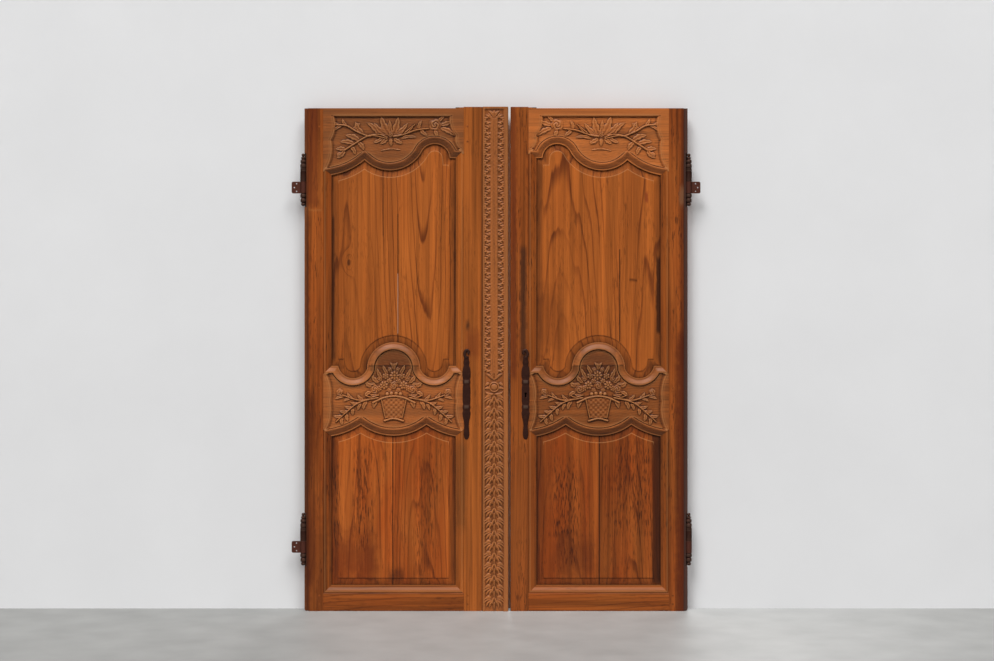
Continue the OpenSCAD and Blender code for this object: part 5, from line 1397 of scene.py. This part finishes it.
        # Distance into the panel, depth, and patina along the head, the sides and the foot: grime with
        # painted shade at the rim, and by the field's edge a painted highlight along the head and painted
        # shade along the foot.
        steps = [(-tongue, back, 0, 0, 0), (-tongue, front, 0, 0, 0), (0, front, 0.9, 0.9, 0.9),
                 (4, front - 0.3, 0.55, 0.55, 0.55), (margin - 3, 10.9, 0.15, 0.1, 0.15),
                 (margin - 1.8, 10.7, 0.5, 0.2, 0.6), (margin - 1.2, 9.4, -0.9, 0.1, 0.4),
                 (margin + 0.6, 8.9, -0.8, 0.0, 0.4), (margin + 2.2, 8.8, 0, 0, 0)]
        rings, shades = [], []
        for into, depth, above, beside, below in steps:
            head, foot = moved(head_edge, -into), moved(foot_edge, -into)
            right = [head[-1] - (0, fade), foot[0] + (0, fade)]
            left = [foot[-1] + (0, fade), head[0] - (0, fade)]
            loop = np.vstack([head, right, foot, left])
            patina = np.repeat((above, beside, below, beside), (len(head), 2, len(foot), 2))
            rings.append(np.insert(loop, 1, depth, axis=1))
            ahead = np.roll(loop, -1, axis=0) - np.roll(loop, 1, axis=0)
            upright = np.abs(ahead[:, 1]) / np.maximum(np.hypot(*ahead.T), 1e-6)
            # Painted shade on the slope where it runs upright, down the panel's sides.
            on_slope = slope_shade if 0 <= into < margin - 2 else 0.0
            shades.append(patina + on_slope * smooth((upright - 0.8) / 0.15))
        return loft(rings, np.array(shades))

    def wood(self, colours, side, level, half):
        """Wood of one board."""
        pith, lean, ring_mm, figure, tone = self.figures[side, level, half]
        return pine("Waxed pine, %s %s %s board" % (side, level, half), colours, pith=pith, lean=lean,
                    ring_mm=ring_mm, figure=figure, tone=tone, stain=self.stains[side, level],
                    knots=self.knots.get((side, level), ()), pitted=self.pitted.get((side, level), ()),
                    **self.finishes[level])


class DOOR_OT_pegs(bpy.types.Operator):
    """Wooden pegs through the tenons, a little proud of the faces"""
    bl_idname = "carved_door.pegs"
    bl_label = "Pegs"

    def execute(self, context):
        plan, colours = plan_of(context), colours_of(context)
        shells = self.pegs(plan)
        for side in SIDES:
            node = side + "_pegs"
            skin = pine("Dark pegs, %s" % side, colours, along="X", ring_mm=3, figure=0.3, tone=0.82)
            piece(node, shaped(node, shells, side, 30), side + "_leaf", skin)
        return {"FINISHED"}

    def pegs(self, plan):
        """Whittled pegs, two through each tenon."""
        groove, ear = plan.groove_d, plan.leaf_h - plan.top_ear_drop
        tenons = [(10, plan.bottom_rail_h - groove - 10),
                  (plan.mid_lower_z + groove + 20, plan.mid_shoulder_z - groove - 20),
                  (ear + groove + 20, plan.leaf_h - 40)]
        tip_r, r, proud, eased, grime, back = 3.0, 3.9, 0.35, 0.1, 0.25, plan.leaf_t
        profile = ((tip_r, -proud), (r, -eased), (r, back + eased), (tip_r, back + proud))
        angle = np.arange(8) * math.pi / 4 + math.pi / 8
        ring = np.stack([np.cos(angle), 0 * angle, np.sin(angle)], 1)
        shells = []
        for low, high in tenons:
            for share in (0.25, 0.75):
                for u in (plan.shoulder_l - plan.peg_in, plan.shoulder_r + plan.peg_in):
                    at = np.array([u, 0, low + (high - low) * share])
                    shells.append(loft([at + ring * radius + (0, y, 0) for radius, y in profile], grime))
        return shells


class DOOR_OT_mullion(bpy.types.Operator):
    """Carved mullion on the left leaf's edge"""
    bl_idname = "carved_door.mullion"
    bl_label = "Mullion"

    def execute(self, context):
        plan, colours = plan_of(context), colours_of(context)
        start, width = plan.leaf_w, (MULLION_HIGH.x - MULLION_LOW.x) / MM
        proud = (STILE_LOW.y - MULLION_LOW.y) / MM
        relief = Relief(spaced(start, start + width, plan.relief_step),
                        spaced(WORN_END, plan.horn_z - WORN_END, plan.relief_step * 1.15))
        mullion_carving(plan, relief, start + 46.5)
        u = relief.u - start
        band_l, band_r, fall, ground_d = 7, 86, 9, 4.4
        band = smooth((u - band_l) / fall) * smooth((band_r - u) / fall)
        band = band * smooth((plan.leaf_h - relief.z) / fall)
        lip = 7.5 * (1 - smooth((u - 4.5) / 2.0))
        edge_round = 4.5 * np.clip((u - width + 5) / 5, 0, 1) ** 2.5
        tool_marks = 0.2 * np.sin(relief.z / 2.3 + np.sin(relief.u / 3)) * np.sin(relief.u / 2.9)
        depth = -proud + np.maximum(band * (ground_d + tool_marks - relief.height), 0) + lip + edge_round
        whole = np.ones((len(relief.zs) - 1, len(relief.us) - 1), bool)
        plate = relief_plate(relief.us, relief.zs, depth, whole, plan.leaf_t, grime=0.6)
        skin = pine("Waxed pine, mullion", colours, pith=(-0.16, 0.10), lean=(0.004, 0.012), ring_mm=9,
                    figure=0.3, tone=0.88, red=0.15, dust=0.12)
        mesh = shaped("mullion", [plate], "left", 60)
        piece("mullion", mesh, "left_leaf", skin)
        return {"FINISHED"}


class DOOR_OT_escutcheons(bpy.types.Operator):
    """Forged escutcheons with a hooked finial, bands and a keyhole on the right"""
    bl_idname = "carved_door.escutcheons"
    bl_label = "Escutcheons"

    # Share of the length, half the width and thickness of the plate, from its foot to the neck of the hook.
    outline = (
        (0.000, 4.0, 1.5), (0.020, 8.5, 2.5), (0.060, 10.5, 3.0), (0.110, 9.0, 3.0), (0.150, 8.0, 2.6),
        (0.200, 9.5, 2.8), (0.240, 13.0, 3.2), (0.290, 15.0, 3.6), (0.320, 12.5, 3.0), (0.345, 14.0, 4.4),
        (0.365, 14.0, 4.4), (0.380, 12.5, 3.0), (0.420, 14.2, 2.8), (0.560, 14.2, 2.8), (0.600, 12.5, 3.0),
        (0.615, 14.0, 4.4), (0.640, 14.0, 4.4), (0.655, 12.5, 3.0), (0.690, 15.0, 3.6), (0.740, 15.0, 3.8),
        (0.780, 13.0, 3.4), (0.810, 9.5, 3.0), (0.840, 11.5, 3.4), (0.870, 9.5, 3.2), (0.910, 7.5, 2.8),
    )
    # Sideways reach in millimetres and share of the length along the hook.
    hook = ((0, 0.890), (-6, 0.917), (-6, 0.952), (0, 0.976), (7, 0.966), (8, 0.945), (4, 0.936))

    def execute(self, context):
        plan, colours = plan_of(context), colours_of(context)
        iron = old_iron("Blackened iron, escutcheons", colours.iron, colours)
        foot, smooth_angle = plan.escutcheon_z - plan.escutcheon_h / 2, 50
        plate, scroll = self.plate(plan, foot), self.scroll(plan, foot)
        for side in SIDES:
            name = side + "_escutcheon"
            mesh = shaped(name, [plate], side, smooth_angle)
            if side == "right":
                mesh = cut_by(mesh, [prism(keyhole(plan.key_u, plan.escutcheon_z), -8, 3)], side)
            mesh = joined(mesh, mesh_of(name, [scroll], side))
            tidy(mesh, smooth_angle)
            piece(name, mesh, side + "_leaf", iron)
            coat([name + "_nails"], iron)
        return {"FINISHED"}

    def plate(self, plan, foot):
        """Domed plate with two bands whose crowns are lighter: iron polished by use, with a painted glint.
        """
        share, half, thick = np.array(self.outline).T
        fine = np.linspace(0, share[-1], 110)
        spread, u, back, band = np.linspace(-1, 1, 13), plan.key_u, 0.3, 4.0
        rings, worn = [], []
        for t, h, y in zip(fine, np.interp(fine, share, half), np.interp(fine, share, thick)):
            z = foot + t * plan.escutcheon_h
            dome = y * (0.35 + 0.65 * np.sqrt(1 - spread ** 2 * 0.96))
            front = [(u + h * s, -d, z) for s, d in zip(spread, dome)]
            rings.append(front + [(u + h, back, z), (u - h, back, z)])
            # Lighter along the crown of each band: rubbed iron with a painted glint.
            worn.append([-1.0 if y > band and 2 < k < 10 else 0.2 for k in range(len(rings[0]))])
        return loft(rings, np.array(worn))

    def scroll(self, plan, foot):
        """Hook that curls over at the top, flattened front and back."""
        hook, span, middle_y = curve(self.hook, 7), plan.escutcheon_h, -1.6
        around = np.linspace(0, 2 * math.pi, 13)[:-1]
        rings = []
        for k, (du, t) in enumerate(hook):
            step = hook[min(k + 1, len(hook) - 1)] - hook[max(k - 1, 0)]
            way = np.array([step[0], step[1] * span])
            way /= np.linalg.norm(way)
            r = 6.0 - 1.8 * k / len(hook)
            across, depth = r * np.cos(around), middle_y + np.clip(r * np.sin(around), -4.0, 1.9)
            u, z = plan.key_u + du - way[1] * across, foot + t * span + way[0] * across
            rings.append(np.stack([u, depth, z], 1))
        return loft(rings, -0.15)


class DOOR_OT_hinges(bpy.types.Operator):
    """Turned barrels and pins of the hinges, and their plates"""
    bl_idname = "carved_door.hinges"
    bl_label = "Hinges"

    smooth_angle = 38

    def execute(self, context):
        plan, colours = plan_of(context), colours_of(context)
        iron = old_iron("Blackened iron, hinges", colours.iron, colours, 0.35)
        rusty = old_iron("Rusty iron, hinge plates", colours.plate, colours, 0.6)
        for side in SIDES:
            for level in LEVELS:
                self.barrel(plan, iron, side, level)
                self.pin(plan, iron, side, level)
                coat(["%s_%s_hinge_plate" % (level, side)], rusty)
        return {"FINISHED"}

    def beads(self, start, up, profile):
        """Rows of a turned finial from its root, with rounded beads."""
        rows, z, round_d = [], start, 2.6
        for kind, height, radius in profile:
            if kind == "bead":
                for a in np.arange(9) * math.pi / 8:
                    out, share = math.sin(a), (1 - math.cos(a)) / 2
                    rows.append((radius - round_d * (1 - out), z + up * height * share, 0.5 - 1.2 * out))
            else:
                rows += [(radius, z, 0.6), (radius, z + up * height, 0.6)]
            z += up * height
        return rows, z

    def barrel(self, plan, iron, side, level):
        """Barrel with two scored bands, its finial and its wing in the stile."""
        node = "%s_%s_hinge_barrel" % (level, side)
        low, high = (corner.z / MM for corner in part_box(node))
        r, groove_r, root, wing_w, wing_t = 11.4, 10.5, 48.4, 44, 1.4
        rows = [(r - 1.0, 0.1, 0.5), (r, 1.0, -0.3), (r, 36, 0), (groove_r, 36.6, 0.8),
                (groove_r, 37.4, 0.8), (r, 38, -0.8), (r, 42, -0.8), (groove_r, 42.6, 0.8),
                (groove_r, 43.4, 0.8), (r, 44, -0.7), (r, 47.5, -0.5), (r - 2, 48.2, 0.6)]
        body = [(radius, low + z, patina) for radius, z, patina in rows]
        below = [("bead", 17, r), ("neck", 2, 7.6), ("bead", 13, 10.8), ("neck", 2, 6.4), ("bead", 8, 8.4),
                 ("neck", 2, 4.6)]
        tip_h = high - low - root - sum(height for _, height, _ in below) - 0.4
        finial, top = self.beads(low + root, 1, below + [("bead", tip_h, 6.4)])
        foot, head = low + 0.2, low + 47.5
        shell = turned(body + finial + [(1.2, top + 0.2, 0)])
        wing = prism([(0, foot), (wing_w, foot), (wing_w, head), (0, head)], -wing_t, wing_t)
        shells = [placed(part, plan.hinge_axis) for part in (shell, wing)]
        mesh = shaped(node, shells, side, self.smooth_angle)
        piece(node, mesh, side + "_leaf", iron)

    def pin(self, plan, iron, side, level):
        """Pin with the finial below its knuckle."""
        node = "%s_%s_hinge_pin" % (level, side)
        low, high = (corner.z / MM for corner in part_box(node))
        root, r = low + 50, 5
        finial, foot = self.beads(root, -1, [("neck", 1.5, 7.6), ("bead", 15, 11.4), ("neck", 2, 7.0),
                                             ("bead", 15, 10.8), ("neck", 2, 6.0), ("bead", 9, 8.6),
                                             ("neck", 1.5, 4.6)])
        rows = [(1.0, foot, 0.4), (4.2, foot + 0.4, 0)] + finial[::-1] + [(r, root, 0), (r, high, 0)]
        body = "lower_right_plate" if (side, level) == ("right", "lower") else "case_side"
        mesh = shaped(node, [placed(turned(rows), plan.hinge_axis)], side, self.smooth_angle)
        piece(node, mesh, body, iron)


class DOOR_OT_lock_and_bolts(bpy.types.Operator):
    """Lock, keeper and sliding bolts on the back"""
    bl_idname = "carved_door.lock_and_bolts"
    bl_label = "Lock and bolts"

    def execute(self, context):
        colours = colours_of(context)
        iron = old_iron("Blackened iron, lock and bolts", colours.iron, colours, 0.4)
        bolts = ["%s_bolt%s" % (end, part) for end in ("top", "bottom") for part in ("_plate", "", "_nails")]
        coat(["lock_case", "lock_bolt", "lock_nails", "keeper", "keeper_nails"] + bolts, iron)
        return {"FINISHED"}


class DOOR_OT_stage(bpy.types.Operator):
    """Pale floor and backdrop, soft light and the camera"""
    bl_idname = "carved_door.stage"
    bl_label = "Stage"

    # In metres.
    reach, wall_h, wall_gap = 9, 6, 0.006
    camera_at = (0.0035, -6.023, 1.031)
    lens_mm, sensor_mm = 59.15, 36

    def execute(self, context):
        colours = colours_of(context)
        self.surfaces(colours)
        self.lights(context.scene)
        view = bpy.data.cameras.new("front view")
        view.lens, view.sensor_width = self.lens_mm, self.sensor_mm
        camera = bpy.data.objects.new("front view", view)
        camera.location = self.camera_at
        camera.rotation_euler = (math.radians(90), 0, 0)
        context.scene.collection.objects.link(camera)
        context.scene.camera = camera
        context.scene.view_settings.view_transform = "Standard"
        return {"FINISHED"}

    def surfaces(self, colours):
        """Floor, and a backdrop close behind the leaves that takes no part in their light."""
        far, behind = self.reach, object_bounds()[1].y + self.wall_gap
        ground = pale_surface("Smooth pale concrete", colours.floor[:], 0.45, 170, 0.22)
        self.plane("floor", [(-far, -far, 0), (far, -far, 0), (far, far, 0), (-far, far, 0)], ground)
        # The backdrop is painted a little lighter towards its top, as if lit from above.
        wall = pale_surface("Matt pale plaster", colours.wall[:], 0.8, 450, 0.05, lift=0.13)
        self.see_through_behind(wall)
        top = self.wall_h
        corners = [(-far, behind, 0), (far, behind, 0), (far, behind, top), (-far, behind, top)]
        backdrop = self.plane("backdrop", corners, wall)
        for ray in ("shadow", "diffuse", "glossy"):
            setattr(backdrop, "visible_" + ray, False)

    def lights(self, scene):
        """Two soft skylights from the front, a weak lamp behind and a pale room."""
        softness, height = math.radians(26), math.radians(36)
        for name, energy, turn in (("left skylight", 2.5, -29), ("right skylight", 1.5, 31)):
            sun = bpy.data.lights.new(name, "SUN")
            sun.energy, sun.angle = energy, softness
            skylight = bpy.data.objects.new(name, sun)
            skylight.rotation_euler = (height, 0, math.radians(turn))
            scene.collection.objects.link(skylight)
        fill = bpy.data.lights.new("back fill", "AREA")
        fill.size, fill.energy = 3.0, 90
        lamp = bpy.data.objects.new("back fill", fill)
        lamp.location = (1.2, 5.0, 3.4)
        low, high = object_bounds()
        lamp.rotation_euler = ((low + high) / 2 - lamp.location).to_track_quat("-Z", "Y").to_euler()
        scene.collection.objects.link(lamp)
        scene.world = bpy.data.worlds.new("Pale room")
        scene.world.use_nodes = True
        sky = scene.world.node_tree.nodes["Background"]
        sky.inputs["Color"].default_value = (1.0, 0.99, 0.98, 1)
        sky.inputs["Strength"].default_value = 0.14

    def see_through_behind(self, material):
        """Let the backdrop vanish when it is seen from its back."""
        tree = material.node_tree
        surface, out = tree.nodes["Principled BSDF"], tree.nodes["Material Output"]
        behind = add_node(tree, "NewGeometry", out="Backfacing")
        clear = add_node(tree, "BsdfTransparent")
        both = add_node(tree, "MixShader", {0: behind, 1: surface.outputs[0], 2: clear})
        tree.links.new(both, out.inputs["Surface"])

    def plane(self, name, corners, material):
        """Flat surface of the stage."""
        mesh = bpy.data.meshes.new(name)
        mesh.from_pydata(corners, [], [(0, 1, 2, 3)])
        mesh.materials.append(material)
        made = bpy.data.objects.new(name, mesh)
        bpy.context.scene.collection.objects.link(made)
        made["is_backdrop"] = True
        return made


OPERATORS = (DOOR_OT_stage, DOOR_OT_stiles, DOOR_OT_top_rails, DOOR_OT_middle_rails, DOOR_OT_bottom_rails,
             DOOR_OT_boards, DOOR_OT_pegs, DOOR_OT_mullion, DOOR_OT_escutcheons, DOOR_OT_hinges,
             DOOR_OT_lock_and_bolts)


class DOOR_PT_panel(bpy.types.Panel):
    """The door's sizes, colours and pieces"""
    bl_idname = "DOOR_PT_panel"
    bl_label = "Carved door"
    bl_space_type = "VIEW_3D"
    bl_region_type = "UI"
    bl_category = "Carved door"

    def draw(self, context):
        settings = context.scene.carved_door
        for group in (settings.sizes, settings.colours):
            column = self.layout.column(align=True)
            for name in group.__annotations__:
                column.prop(group, name)
        for operator in OPERATORS:
            self.layout.operator(operator.bl_idname)


CLASSES = (DoorSizes, DoorColours, DoorSettings, *OPERATORS, DOOR_PT_panel)


def register():
    """Add the classes and the scene's settings."""
    for made in CLASSES:
        bpy.utils.register_class(made)
    bpy.types.Scene.carved_door = bpy.props.PointerProperty(type=DoorSettings)


def unregister():
    """Take the settings and the classes away again."""
    del bpy.types.Scene.carved_door
    for made in reversed(CLASSES):
        bpy.utils.unregister_class(made)


def main():
    """Build every piece in order."""
    register()
    for operator in OPERATORS:
        group, name = operator.bl_idname.split(".")
        getattr(getattr(bpy.ops, group), name)()


if __name__ == "__main__":
    main()
